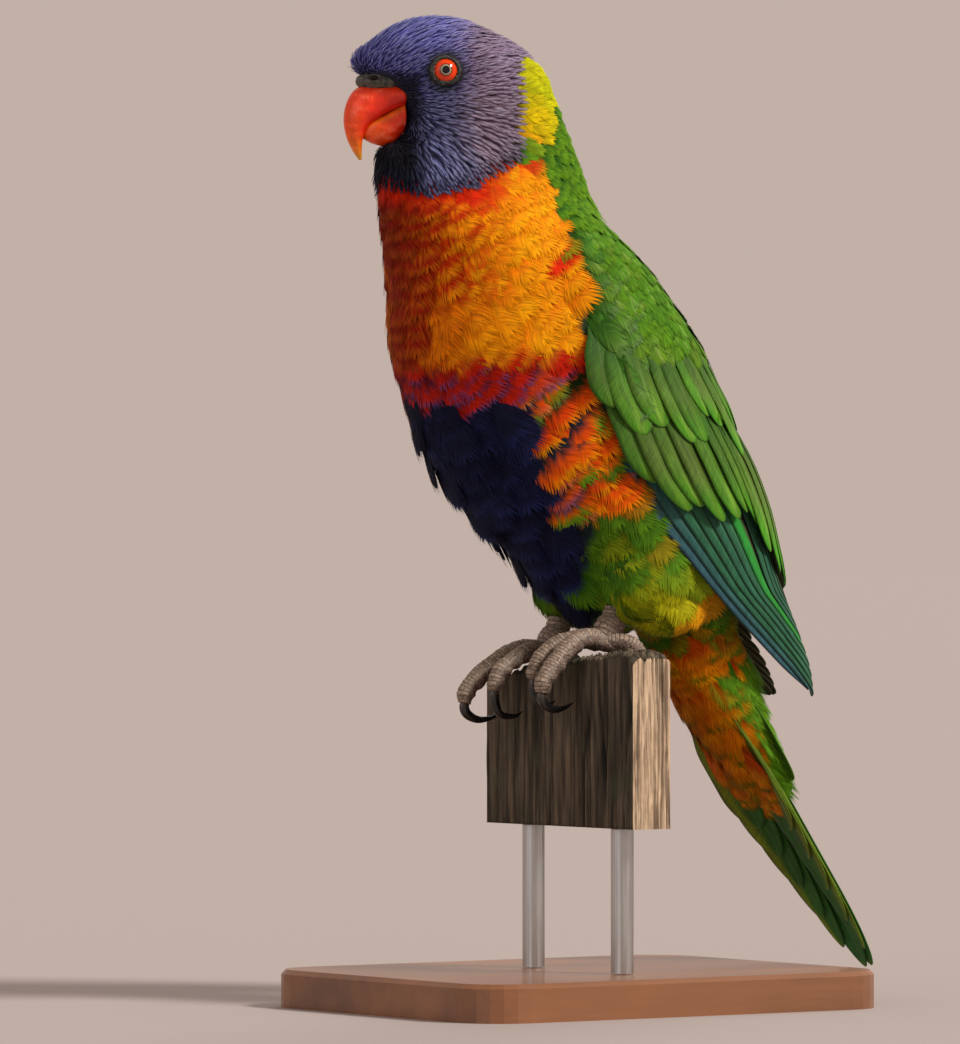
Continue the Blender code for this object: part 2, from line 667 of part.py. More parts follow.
def tail(finish):
    """The tail: twelve graduated feathers in layers, and the bulk of small feathers over their roots."""
    rings = []
    for i in range(12):
        distance, below, above, half = spline(TAIL_BULK, (len(TAIL_BULK) - 1) * i / 11)
        ring = []
        for j in range(16):
            a = 2 * math.pi * (j + 0.5) / 16
            high = above if math.cos(a) > 0 else below
            ring.append(tail_point(distance, half * math.sin(a), high * math.cos(a)))
        rings.append(np.array(ring))
    pieces = [solid("bulk", rings)]
    for pair in range(6):
        for side in (1, -1):
            layer = pair + 1 if pair else (1 - side) / 2
            level = 0.5 - 0.82 * layer
            tip = TAIL_LENGTH - (0.0, 7.0, 17.0, 28.0, 39.0, 49.0)[pair]
            outer = (6.4, 8.6, 10.2, 11.6, 12.8, 13.8)[pair]
            inner = 0.3 if pair else -4.6
            along = ((34.0, 0.5), (34 + (tip - 34) * 0.4, 0.85), (34 + (tip - 34) * 0.72, 1.0),
                     (34 + (tip - 34) * 0.92, 0.6), (tip, 0.14))
            pieces.append(tail_vane(along, side * outer, side * inner, level, 1.6))
    for k in range(4):
        across = (k - 1.5) * 5.2
        tip = 62.0 - 2.2 * abs(k - 1.5)
        level = 2.9 + (k % 2) * 0.85
        along = ((33.0, 0.5), (44.0, 0.9), (54.0, 0.8), (tip, 0.25))
        pieces.append(tail_vane(along, across + 3.8, across - 3.8, level, 1.6))
        level = -6.6 - (k % 2) * 0.85
        tip = 61.0 - 1.6 * abs(k - 1.5)
        along = ((33.0, 0.5), (43.0, 0.9), (53.0, 0.8), (tip, 0.25))
        pieces.append(tail_vane(along, across + 3.8, across - 3.8, level + 0.9, 1.6))
    return joined("tail", pieces, finish)


def perch(finish):
    """A cut length of weathered board, worn lower at one end."""
    front, back = BOARD_FACES
    rings = []
    for x, top in BOARD_TOP:
        section = (
            (front, -BOARD_DROP), (front, top - 1.6), (front + 1.5, top), (back - 1.5, top), (back, top - 1.4),
            (back, -BOARD_DROP),
        )
        rings.append(np.array([(x, y, z) for y, z in section]))
    return solid("perch", rings, finish)


def stand_base(finish):
    """A flat base with rounded corners and a small chamfer on its upper edge."""
    width, depth, height = BASE_SIZE
    rings = []
    for inset, z in ((0.0, 0.0), (0.0, height - 1.2), (1.2, height)):
        ring = []
        radius = BASE_CORNER - inset
        for corner, (sx, sy) in enumerate(((1, 1), (-1, 1), (-1, -1), (1, -1))):
            for k in range(7):
                a = math.pi / 2 * (corner + k / 6)
                ring.append((
                    sx * (width / 2 - BASE_CORNER) + radius * math.cos(a),
                    sy * (depth / 2 - BASE_CORNER) + radius * math.sin(a),
                    z,
                ))
        rings.append(np.array(ring))
    return solid("stand_base", rings, finish, lift=False)


def rod(name, x, finish):
    """An upright rod from the base to the board."""
    low, high = BASE_SIZE[2] + GAP, PERCH_TOP - BOARD_DROP - GAP
    y = sum(BOARD_FACES) / 2
    rings = []
    for z in (low, high):
        rings.append(np.array([
            (x + ROD_RADIUS * math.cos(a), y + ROD_RADIUS * math.sin(a), z) for a in np.linspace(0, 2 * math.pi, 25)[:-1]
        ]))
    return solid(name, rings, finish, lift=False)


def shade(obj, angle=40.0):
    """Smooth shading, except over edges sharper than angle."""
    work = bmesh.new()
    work.from_mesh(obj.data)
    for face in work.faces:
        face.smooth = True
    for edge in work.edges:
        if len(edge.link_faces) == 2:
            edge.smooth = edge.calc_face_angle(0.0) < math.radians(angle)
    work.to_mesh(obj.data)
    work.free()


def main():
    clear_scene()
    blue = material("head_feathers", (0.05, 0.06, 0.25), 0.8)
    nape = material("neck_feathers", (0.35, 0.45, 0.05), 0.8)
    orange = material("breast_feathers", (0.75, 0.2, 0.02), 0.8)
    green = material("wing_feathers", (0.05, 0.25, 0.02), 0.6)
    leaf = material("tail_feathers", (0.05, 0.2, 0.03), 0.6)
    thigh_green = material("thigh_feathers", (0.1, 0.3, 0.03), 0.8)
    red = material("bill", (0.8, 0.08, 0.02), 0.3)
    skin = material("cere", (0.2, 0.16, 0.14), 0.6)
    iris = material("eye", (0.8, 0.12, 0.02), 0.1)
    scales = material("feet", (0.25, 0.2, 0.16), 0.6)
    horn = material("claws", (0.02, 0.02, 0.02), 0.35)
    board = material("weathered_wood", (0.18, 0.15, 0.11), 0.9)
    base_wood = material("base_wood", (0.25, 0.14, 0.07), 0.5)
    steel = material("rod_steel", (0.5, 0.5, 0.5), 0.3, 1.0)

    bill_half("bill_upper", UPPER_BILL, red)
    cut(bill_half("bill_lower", LOWER_BILL, red), bill_half("upper_seat", UPPER_BILL, spare=GAP))
    cut(cere_ball("cere", skin), bill_half("upper_seat", UPPER_BILL, spare=GAP), nostril(1), nostril(-1))
    eyeball("eye_left", 1, iris)
    eyeball("eye_right", -1, iris)
    head(blue)

    step = 0.5 * GAP / abs(BODY[13][2] - BODY[12][2])
    body_length("neck", HEAD_END + GAP / 4.7, NECK_END - step, 5, 24, nape)
    torso = body_length("torso", NECK_END + step, BODY_END, 18, 24, orange)

    feet = {}
    for which in FOOT_PLACES:
        feet[which] = foot("foot_" + which, which, scales)
        for toe in CLAWS:
            claw("claw_" + which + "_" + toe, which, toe, horn)

    tail_made = tail(leaf)
    thighs = []
    for which, side in (("left", 1), ("right", -1)):
        wing("wing_" + which, side, green)
        limb = thigh("thigh_" + which, side, thigh_green)
        thighs.append(cut(limb, wing_seat(side), grown(feet[which], 0.5)))
    cutters = [grown(other, 0.45) for other in (*thighs, tail_made, *feet.values())]
    cut(torso, wing_seat(1), wing_seat(-1), *cutters)

    perch(board)
    stand_base(base_wood)
    rod("stand_rod_left", sum(BOARD_ENDS) / 2 + ROD_SPREAD, steel)
    rod("stand_rod_right", sum(BOARD_ENDS) / 2 - ROD_SPREAD, steel)
    for obj in bpy.context.scene.objects:
        shade(obj)


main()
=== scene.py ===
import math
from itertools import product

import bmesh
import bpy
import numpy as np
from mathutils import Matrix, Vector, noise
from mathutils.bvhtree import BVHTree


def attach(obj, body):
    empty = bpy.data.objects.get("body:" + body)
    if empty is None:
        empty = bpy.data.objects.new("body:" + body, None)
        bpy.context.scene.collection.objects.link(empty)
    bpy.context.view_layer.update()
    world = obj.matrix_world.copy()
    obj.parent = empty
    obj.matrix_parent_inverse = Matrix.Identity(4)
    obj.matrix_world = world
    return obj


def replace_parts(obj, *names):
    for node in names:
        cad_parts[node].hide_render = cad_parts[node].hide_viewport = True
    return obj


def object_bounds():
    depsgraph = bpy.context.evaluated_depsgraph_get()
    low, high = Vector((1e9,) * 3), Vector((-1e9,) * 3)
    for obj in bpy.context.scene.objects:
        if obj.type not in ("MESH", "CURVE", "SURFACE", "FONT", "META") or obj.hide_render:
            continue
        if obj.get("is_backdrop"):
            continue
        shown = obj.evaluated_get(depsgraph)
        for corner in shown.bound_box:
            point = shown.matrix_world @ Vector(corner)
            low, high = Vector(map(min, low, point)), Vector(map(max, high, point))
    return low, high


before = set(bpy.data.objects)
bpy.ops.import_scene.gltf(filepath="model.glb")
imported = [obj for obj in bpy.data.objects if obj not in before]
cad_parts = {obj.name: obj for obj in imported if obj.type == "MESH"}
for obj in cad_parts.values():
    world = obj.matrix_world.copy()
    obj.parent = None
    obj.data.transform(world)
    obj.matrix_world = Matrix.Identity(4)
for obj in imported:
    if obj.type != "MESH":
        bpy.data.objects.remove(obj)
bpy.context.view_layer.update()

MM = 0.001
FULL_TURN = 2 * math.pi
UP = np.array([0.0, 0.0, 1.0])
rng = np.random.default_rng(20)

# Sizes of the bird, in millimetres from the top of the perch. They are the solids' own.
PERCH_TOP = 92.247
BOARD_FRONT, BOARD_BACK = -11.0, 1.0
BOARD_DROP = 44.0
BOARD_TOP = np.array([
    (-26.0, -6.6), (-19.0, -4.4), (-12.5, -3.2), (0.0, -1.0), (13.0, 0.4), (26.0, 1.4), (36.0, 2.6), (40.0, 0.8),
])
TAIL_LENGTH = 118.0
TAIL_TILT = math.radians(34.5)
HEAD_TURN = math.radians(20.0)
HEAD_MIDDLE = (-1.9, -40.4)
EYE_RADIUS = 4.1
EYE_PLACE = (4.0, 12.6, 153.2)
TAIL_ROOT = np.array([0.0, 30.5, 13.0])
TAIL_WAY = np.array([0.0, math.sin(TAIL_TILT), -math.cos(TAIL_TILT)])
TAIL_BACK = np.array([0.0, math.cos(TAIL_TILT), math.sin(TAIL_TILT)])
BODY_WAY = np.array([0.0, 0.475, -0.88])

# Level sections of the body: x, y, z, share of the head's turn, reach forward, reach back, half width, narrowing.
BODY = np.array([
    (-2.0, -44.6, 168.6, 1.0, 0.5, 0.5, 0.4, 0.0), (-2.0, -44.5, 167.7, 1.0, 7.0, 7.4, 5.6, 0.0),
    (-2.0, -44.2, 165.6, 1.0, 12.6, 12.6, 9.2, 0.0), (-1.9, -43.2, 162.3, 1.0, 18.6, 18.9, 12.4, 0.06),
    (-1.9, -41.9, 158.6, 1.0, 23.2, 23.2, 14.6, 0.12), (-1.9, -40.9, 155.0, 1.0, 25.4, 25.2, 15.7, 0.18),
    (-1.9, -40.0, 151.6, 1.0, 22.5, 26.4, 16.2, 0.20), (-1.8, -39.4, 147.5, 1.0, 17.0, 27.4, 16.7, 0.18),
    (-1.6, -38.6, 142.0, 1.0, 14.2, 28.8, 17.2, 0.12), (-1.4, -37.5, 136.5, 0.95, 15.6, 30.0, 17.9, 0.08),
    (-1.1, -35.8, 131.8, 0.85, 22.0, 30.2, 18.8, 0.06), (-0.7, -33.2, 127.0, 0.6, 27.4, 30.4, 20.2, 0.03),
    (-0.3, -30.2, 120.5, 0.3, 30.2, 31.4, 22.6, 0.0), (0.0, -27.5, 114.0, 0.0, 32.8, 33.4, 25.5, 0.0),
    (0.0, -21.0, 103.2, 0.0, 37.2, 36.0, 29.0, 0.0), (0.0, -16.0, 92.5, 0.0, 41.1, 38.6, 31.0, 0.0),
    (0.0, -11.0, 81.7, 0.0, 45.9, 42.0, 32.0, 0.0), (0.0, -5.5, 71.0, 0.0, 48.0, 41.6, 32.0, 0.0),
    (0.0, 0.0, 60.2, 0.0, 49.2, 41.4, 31.5, 0.0), (0.0, 6.5, 49.5, 0.0, 49.2, 40.4, 30.5, 0.0),
    (0.0, 14.0, 38.7, 0.0, 46.0, 36.6, 29.0, 0.0), (0.0, 21.0, 28.0, 0.0, 40.6, 31.4, 27.0, 0.0),
    (0.0, 26.5, 18.6, 0.0, 36.6, 26.6, 23.5, 0.0), (0.0, 28.0, 11.8, 0.0, 31.5, 21.5, 18.6, 0.0),
    (0.0, 27.5, 8.4, 0.0, 23.0, 14.0, 12.0, 0.0), (0.0, 27.0, 7.4, 0.0, 9.0, 6.0, 5.0, 0.0),
])

# Level sections of a folded wing: y, z, half width, reach back, reach forward, angles of its front and rear edges.
WING = np.array([
    (-30.0, 119.5, 24.2, 31.6, 31.0, 113.0, 128.0), (-27.5, 114.0, 27.2, 34.0, 33.0, 101.0, 139.0),
    (-21.0, 103.2, 31.2, 38.2, 37.3, 88.0, 149.0), (-16.0, 92.5, 33.2, 42.0, 41.1, 82.0, 156.0),
    (-11.0, 81.7, 34.4, 45.8, 46.4, 78.0, 161.0), (-5.5, 71.0, 34.4, 45.8, 47.6, 73.5, 165.0),
    (0.0, 60.2, 34.0, 46.2, 48.2, 72.5, 167.5), (6.5, 49.5, 33.0, 46.0, 48.2, 72.0, 169.0),
    (14.0, 38.7, 31.2, 43.2, 44.2, 73.0, 169.0), (21.5, 28.0, 28.6, 39.2, 38.0, 78.5, 168.0),
    (29.5, 17.2, 25.6, 35.2, 31.5, 85.0, 166.0), (39.5, 6.5, 22.0, 30.6, 26.0, 92.0, 162.0),
    (49.0, -3.2, 18.6, 25.4, 21.0, 102.5, 157.0), (56.5, -11.0, 15.0, 19.6, 16.5, 120.0, 149.0),
])

TAIL_BULK = np.array([
    (-5.0, 5.0, 6.0, 5.0), (-3.0, 9.0, 11.0, 9.0), (2.0, 11.0, 14.0, 11.6), (10.0, 11.8, 13.0, 12.6),
    (20.0, 11.6, 9.8, 12.4), (30.0, 9.8, 7.0, 11.4), (39.0, 7.4, 4.8, 10.0), (45.0, 5.8, 3.4, 8.4),
    (47.0, 3.0, 1.6, 4.6),
])

# The bill in the head's own axes: forward and up of the outer curve, of the inner curve, and half width.
UPPER_BILL = np.array([
    (13.0, 152.0, 12.4, 144.6, 5.4), (19.5, 151.0, 15.0, 143.6, 5.5), (24.6, 149.2, 17.8, 142.0, 5.0),
    (27.2, 145.6, 20.2, 140.4, 4.3), (28.1, 141.0, 22.2, 138.6, 3.4), (27.4, 136.6, 23.2, 136.0, 2.5),
    (25.8, 133.0, 23.4, 133.2, 1.5), (24.0, 130.4, 23.3, 130.6, 0.5),
])
LOWER_BILL = np.array([
    (12.4, 137.4, 12.6, 145.4, 4.9), (14.6, 135.0, 15.2, 144.0, 4.9), (17.2, 134.2, 18.0, 142.4, 4.5),
    (20.0, 134.6, 20.6, 140.9, 3.7), (22.2, 135.6, 22.4, 139.4, 2.5), (23.3, 136.2, 23.1, 138.0, 1.2),
])


def tone(red, green, blue):
    """A linear colour from the usual 0 to 255 numbers."""
    c = np.array([red, green, blue], float) / 255
    return np.where(c <= 0.04045, c / 12.92, ((c + 0.055) / 1.055) ** 2.4)


def smooth(x, low, high):
    """0 below low, 1 above high, and an even curve between. With low above high it falls instead."""
    t = np.clip((np.asarray(x, float) - low) / (high - low), 0, 1)
    return t * t * (3 - 2 * t)


def mixed(a, b, share):
    """Colours a and b mixed by share, row by row."""
    share = np.asarray(share, float)[..., None]
    return a * (1 - share) + b * share


def layered(base, *layers):
    """A colour with further ones laid over it in turn, each with its share."""
    for colour, share in layers:
        base = mixed(base, colour, share)
    return base


def times(colour, amount):
    """Colours or vectors multiplied by amount, row by row."""
    return colour * np.asarray(amount)[..., None]


def unit(v):
    """Directions of length 1."""
    return v / np.maximum(np.linalg.norm(v, axis=-1, keepdims=True), 1e-9)


def circle(count, start=0.0):
    """Even angles round a full turn."""
    return FULL_TURN * (np.arange(count) + start) / count


def spline(rows, at):
    """Rows of numbers at fractional places, on a smooth curve through all rows."""
    rows, at = np.asarray(rows, float), np.asarray(at, float)
    last = len(rows) - 1
    i = np.clip(np.floor(at), 0, last - 1).astype(int)
    f = (at - i)[..., None]
    a, b = rows[i], rows[i + 1]
    before = np.where((i > 0)[..., None], rows[np.maximum(i - 1, 0)], 2 * a - b)
    after = np.where((i + 2 <= last)[..., None], rows[np.minimum(i + 2, last)], 2 * b - a)
    return (
        a
        + 0.5 * f * (b - before)
        + f * f * (before - 2.5 * a + 2 * b - 0.5 * after)
        + f ** 3 * (1.5 * (a - b) + 0.5 * (after - before))
    )


def level_axes(turn):
    """Forward and left directions of a level section turned to the bird's right."""
    turn = np.asarray(turn, float)
    flat = np.zeros_like(turn)
    return np.stack([-np.sin(turn), -np.cos(turn), flat], -1), np.stack([np.cos(turn), -np.sin(turn), flat], -1)


AHEAD, LEFT = level_axes(HEAD_TURN)


def body_point(at, angle):
    """A point of the body's outer surface."""
    x, y, z, turn, front, back, half, narrow = np.moveaxis(spline(BODY, at), -1, 0)
    ahead, left = level_axes(turn * HEAD_TURN)
    c, s = np.cos(angle), np.sin(angle)
    reach = np.where(c > 0, front, back)
    middle = np.stack([x, y, z], -1)
    return middle + ahead * (reach * c)[..., None] + left * (half * s * (1 - narrow * c))[..., None]


def head_point(forward, side, up):
    """A point given in the head's own axes."""
    forward, side, up = (np.asarray(x, float)[..., None] for x in (forward, side, up))
    return np.array([*HEAD_MIDDLE, 0.0]) + forward * AHEAD + side * LEFT + up * UP


def in_head(p):
    """Forward, sideways and up of points, in the head's own axes."""
    away = p - np.array([*HEAD_MIDDLE, 0.0])
    return away @ AHEAD, away @ LEFT, p[..., 2]


def wing_surface(side, at, across):
    """A point of the folded wing's outer surface."""
    y, z, half, back, front, first, last = np.moveaxis(spline(WING, at), -1, 0)
    angle = np.radians(first + (last - first) * across)
    c = np.cos(angle)
    reach = np.where(c > 0, front, back)
    return np.stack([side * half * np.sin(angle), y - reach * c, z], -1)


def wing_point(side, at, across, height):
    """A point height mm outside the wing's outer surface."""
    at, across = np.asarray(at, float), np.asarray(across, float)
    along = wing_surface(side, at + 0.05, across) - wing_surface(side, at - 0.05, across)
    over = wing_surface(side, at, across + 0.02) - wing_surface(side, at, across - 0.02)
    normal = unit(np.cross(along, over) * side)
    return wing_surface(side, at, across) + normal * np.asarray(height, float)[..., None]


def tail_point(distance, sideways, height):
    """A point in the tail's own axes."""
    d, s, h = (np.asarray(x, float)[..., None] for x in (distance, sideways, height))
    return TAIL_ROOT + TAIL_WAY * d + TAIL_BACK * h + np.array([1.0, 0.0, 0.0]) * s


SPAN_AT = np.linspace(0, 13.3, 60)
SPAN_STEPS = 12
SPAN = sum(
    np.linalg.norm(
        wing_surface(1, SPAN_AT, (k + 1) / SPAN_STEPS) - wing_surface(1, SPAN_AT, k / SPAN_STEPS), axis=-1,
    )
    for k in range(SPAN_STEPS)
)


def wing_span(at):
    """The width of the folded wing's outer surface, in mm."""
    return np.interp(at, SPAN_AT, SPAN)


# Meshes

def mesh_piece(name, co, faces, finish, colours, maps=None):
    """An object that rides on the one body, from points in millimetres and faces of three or four corners."""
    co = np.array(co, float) * MM
    co[:, 2] += PERCH_TOP * MM
    faces = np.asarray(faces, np.int32)
    mesh = bpy.data.meshes.new(name)
    mesh.vertices.add(len(co))
    mesh.vertices.foreach_set("co", co.astype(np.float32).ravel())
    mesh.loops.add(faces.size)
    mesh.loops.foreach_set("vertex_index", faces.ravel())
    mesh.polygons.add(len(faces))
    mesh.polygons.foreach_set("loop_start", np.arange(0, faces.size, faces.shape[1], dtype=np.int32))
    mesh.polygons.foreach_set("use_smooth", np.ones(len(faces), bool))
    mesh.update(calc_edges=True)
    mesh.validate()
    rgba = np.ones((len(co), 4), np.float32)
    rgba[:, :3] = colours
    mesh.color_attributes.new("Colour", "FLOAT_COLOR", "POINT").data.foreach_set("color", rgba.ravel())
    for key, uv in (maps or {}).items():
        mesh.uv_layers.new(name=key).data.foreach_set("uv", np.asarray(uv, np.float32)[faces.ravel()].ravel())
    mesh.materials.append(finish)
    made = bpy.data.objects.new(name, mesh)
    bpy.context.scene.collection.objects.link(made)
    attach(made, "root")
    return made


class Coat:
    """Feathers gathered into one piece."""

    def __init__(self):
        self.parts, self.count = [], 0

    def add(self, co, faces, colours, bake, vane):
        self.parts.append((co, faces + self.count, colours, bake, vane))
        self.count += len(co)

    def piece(self, name, finish):
        co, faces, colours, bake, vane = (np.concatenate(column) for column in zip(*self.parts))
        print(name, len(faces), "triangles")
        return mesh_piece(name, co, faces, finish, np.clip(colours, 0, 1), {"OFBake": bake, "Vane": vane})


def grid_faces(rows, columns, closed=False):
    """Quads over a grid of points, rows by columns."""
    faces = []
    for i, j in product(range(rows - 1), range(columns if closed else columns - 1)):
        here, k = i * columns, (j + 1) % columns
        faces.append((here + j, here + k, here + columns + k, here + columns + j))
    return np.array(faces, np.int32)


def closed_rings(rings):
    """Points and quads of a closed tube, its ends drawn together."""
    first, last = (np.repeat(ring.mean(0)[None], len(ring), 0) for ring in (rings[0], rings[-1]))
    rings = [first, *rings, last]
    return np.concatenate(rings), grid_faces(len(rings), len(first), True)


def face_outward(work):
    """Welds a closed mesh and turns its faces outward."""
    bmesh.ops.remove_doubles(work, verts=work.verts, dist=1e-7)
    bmesh.ops.recalc_face_normals(work, faces=work.faces)
    if work.calc_volume(signed=True) < 0:
        bmesh.ops.reverse_faces(work, faces=work.faces)


def swept(name, rings, finish, colours):
    """A closed piece through rings of points, with one row of colours for each ring."""
    co, faces = closed_rings(rings)
    made = mesh_piece(name, co, faces, finish, np.concatenate([colours[0], *colours, colours[-1]]))
    work = bmesh.new()
    work.from_mesh(made.data)
    face_outward(work)
    work.to_mesh(made.data)
    work.free()
    return made


# Materials

def new_material(name):
    """A material, its node tree and its shader."""
    made = bpy.data.materials.new(name)
    made.use_nodes = True
    return made, made.node_tree, made.node_tree.nodes["Principled BSDF"]


def set_inputs(tree, made, inputs):
    """Gives each named input of a node its constant, or links it to the socket given."""
    for key, value in inputs.items():
        if isinstance(value, bpy.types.NodeSocket):
            tree.links.new(value, made.inputs[key])
        else:
            made.inputs[key].default_value = value


def node(tree, kind, inputs, output=0, **settings):
    """The output socket of a new node."""
    made = tree.nodes.new(kind)
    for key, value in settings.items():
        setattr(made, key, value)
    set_inputs(tree, made, inputs)
    return made.outputs[output]


def math_node(tree, operation, *values):
    return node(tree, "ShaderNodeMath", dict(enumerate(values)), operation=operation)


def ranged(tree, value, low, high, to_low, to_high):
    """A number socket taken from one range to another."""
    ends = {"From Min": low, "From Max": high, "To Min": to_low, "To Max": to_high}
    return node(tree, "ShaderNodeMapRange", {"Value": value, **ends}, "Result")


def cloudy(tree, place, scale, detail):
    """Soft noise from 0 to 1."""
    inputs = {"Vector": place, "Scale": scale, "Detail": detail, "Roughness": 0.6}
    return node(tree, "ShaderNodeTexNoise", inputs, "Fac")


def varied(tree, colour, amount, low, high):
    """colour made darker and lighter by amount, a number socket, from low to high."""
    scale = ranged(tree, amount, 0.3, 0.7, low, high)
    return node(tree, "ShaderNodeVectorMath", {0: colour, "Scale": scale}, "Vector", operation="SCALE")


def relief(tree, height, strength, depth):
    """The shading of a surface raised by height, a number socket."""
    return node(tree, "ShaderNodeBump", {"Height": height, "Strength": strength, "Distance": depth}, "Normal")


def feather_material(name, roughness, pitch, low, high, bump, sheen=0.02, specular=0.1, shaft=0.0):
    """Feather colour from the mesh, with barbs that run slantwise from the shaft and a paler shaft line."""
    made, tree, shader = new_material(name)
    tinted = node(tree, "ShaderNodeAttribute", {}, "Color", attribute_name="Colour")
    place = node(tree, "ShaderNodeUVMap", {}, "UV", uv_map="Vane")
    across, down = (node(tree, "ShaderNodeSeparateXYZ", {0: place}, key) for key in ("X", "Y"))
    off = math_node(tree, "ABSOLUTE", math_node(tree, "SUBTRACT", across, 0.5))
    slant = math_node(tree, "SUBTRACT", down, math_node(tree, "MULTIPLY", off, 0.9))
    point = {0: math_node(tree, "MULTIPLY", slant, pitch), 1: math_node(tree, "MULTIPLY", off, 1.4)}
    barbs = cloudy(tree, node(tree, "ShaderNodeCombineXYZ", point), 1.0, 2.0)
    tinted = varied(tree, tinted, barbs, low, high)
    if shaft:
        spread = node(tree, "ShaderNodeMapping", {"Vector": place, "Scale": (7.0, 1.3, 1.0)})
        tinted = varied(tree, tinted, cloudy(tree, spread, 1.0, 3.0), 0.68, 1.3)
        off = math_node(tree, "ABSOLUTE", math_node(tree, "SUBTRACT", across, 0.4))
        line = ranged(tree, off, 0.008, 0.034, shaft, 0.0)
        parts = {"Factor": line, "A": tinted, "B": (*tone(176, 190, 120), 1)}
        tinted = node(tree, "ShaderNodeMix", parts, "Result", data_type="RGBA")
    set_inputs(tree, shader, {
        "Base Color": tinted, "Normal": relief(tree, barbs, bump, 0.0003), "Roughness": roughness,
        "Specular IOR Level": specular, "Sheen Weight": sheen, "Sheen Roughness": 0.4,
    })
    return made


def surface_material(name, roughness, scale, low, high, bump, depth, stretch=(1, 1, 1), detail=5.0, colour=None,
                     coat=0.0, metallic=0.0, specular=0.5):
    """A solid surface: its own colour, or the mesh's, with fine variation and relief."""
    made, tree, shader = new_material(name)
    if colour is None:
        source = node(tree, "ShaderNodeAttribute", {}, "Color", attribute_name="Colour")
    else:
        source = node(tree, "ShaderNodeRGB", {})
        source.default_value = (*colour, 1.0)
    place = node(tree, "ShaderNodeTexCoord", {}, "Object")
    grain = cloudy(tree, node(tree, "ShaderNodeMapping", {"Vector": place, "Scale": stretch}), scale, detail)
    set_inputs(tree, shader, {
        "Base Color": varied(tree, source, grain, low, high), "Normal": relief(tree, grain, bump, depth),
        "Roughness": ranged(tree, grain, 0.0, 1.0, max(roughness - 0.08, 0.03), roughness + 0.08),
        "Metallic": metallic, "Specular IOR Level": specular, "Coat Weight": coat, "Coat Roughness": 0.06,
    })
    return made


SOFT = feather_material("soft_feathers", 0.78, 60.0, 0.86, 1.12, 0.25)
FINE = feather_material("head_plumes", 0.7, 12.0, 0.85, 1.15, 0.2)
SLEEK = feather_material("sleek_feathers", 0.62, 42.0, 0.7, 1.24, 0.6, 0.03, 0.2, 0.07)
SKIN = surface_material("under_plumage", 0.9, 900.0, 0.5, 0.9, 0.4, 0.0004)

# Plumage colours
VIOLET, LAVENDER, MAUVE = tone(62, 62, 128), tone(150, 156, 204), tone(92, 70, 78)
SLATE, INK, THROAT = tone(50, 56, 92), tone(18, 20, 30), tone(14, 17, 28)
PALE_MAUVE, LORE_GREY = tone(168, 158, 182), tone(70, 74, 66)
LIME, YELLOW, AMBER, GOLD = tone(160, 176, 4), tone(214, 176, 0), tone(226, 130, 0), tone(240, 162, 0)
ORANGE, RED, DEEP_RED = tone(236, 104, 0), tone(214, 34, 0), tone(152, 18, 0)
NAVY, BLUE_EDGE, VIOLET_EDGE = tone(20, 24, 56), tone(46, 60, 124), tone(92, 72, 128)
GREEN, LEAF, BRIGHT = tone(74, 124, 18), tone(104, 146, 18), tone(60, 152, 22)
MOSS, BOTTLE, OLIVE = tone(52, 104, 20), tone(34, 66, 20), tone(92, 104, 40)
TEAL, STEEL_BLUE, BROWN = tone(34, 88, 66), tone(52, 84, 108), tone(86, 60, 44)

# Where the markings change, across the view of the left flank and up it
FLANK_WAY = (0.5736, 0.8192)
HEAD_REAR = -15.6
JITTER = 1.4


def body_at(z, column):
    """One column of BODY at heights z."""
    return np.interp(z, BODY[::-1, 2], BODY[::-1, column])


def beside(p):
    """Each point as it stands on the bird's left flank: how far it is across the view of that flank, and its
    height. The head's turn is undone part by part, and the right side is taken over to the left."""
    z = p[..., 2]
    cx, cy = body_at(z, 0), body_at(z, 1)
    ahead, left = level_axes(body_at(z, 3) * HEAD_TURN)
    away = np.stack([p[..., 0] - cx, p[..., 1] - cy, np.zeros_like(z)], -1)
    f, s = (away * ahead).sum(-1), np.abs((away * left).sum(-1))
    there = np.stack([cx, cy, z], -1) + ahead * f[..., None] + left * s[..., None]
    return there[..., 0] * FLANK_WAY[0] + there[..., 1] * FLANK_WAY[1], z


def head_edge(a):
    """The height of the head's lower border across the flank."""
    return np.interp(a, [-53, -43, -39, -27, -20.6, -17.5, HEAD_REAR], [124.7, 121.5, 120.4, 123.4, 127.5, 129.5, 131])


def is_head(a, z):
    """Whether places across the flank and up belong to the head."""
    return np.where(a < HEAD_REAR, z > head_edge(a), z > 157.6 - 0.16 * np.maximum(a + 4, 0))


def is_collar(a, z):
    """Whether they belong to the yellow collar on the nape."""
    right = np.interp(z, [129, 132, 137, 141, 147.5, 151], [-13.5, -11, -9, -8, -6.6, 12])
    return ~is_head(a, z) & (z > 131) & (a < right)


def green_from(z):
    """Where the green of the back begins across the flank."""
    return np.interp(
        z, [62, 66, 84, 96, 103, 107, 109, 112, 114.6, 117, 124.7, 127, 128.6, 131, 134],
        [3.5, 2.6, 1.4, 0.6, -1.2, -5, -4, -5, -3, -6.4, -8.4, -9.6, -14, -16.8, -15.6],
    )


def belly_to(z):
    """Where the dark belly ends across the flank."""
    return np.interp(z, [3, 12, 21, 36, 39.6, 49.5, 58, 66.7, 70], [4, 2, -1.6, -1, -3, -9.5, -13, -15.5, -16])


def behind_legs(y, z):
    """Whether low places, up to 60 mm over the perch, belong to the green of the rump."""
    return (z <= 60) & (y > 0.55 * (60 - z) + 20)


def uneven(p, r, r2):
    """As beside, each feather shifted a little, so that no border runs straight."""
    a, z = beside(p)
    return a + (r2 - 0.5) * JITTER, z + (r - 0.5) * JITTER


# A tint gives the colour of feathers from p, where each one shows, x, the place itself, v from root to tip, u from
# edge to edge, and r and r2, random for each feather.

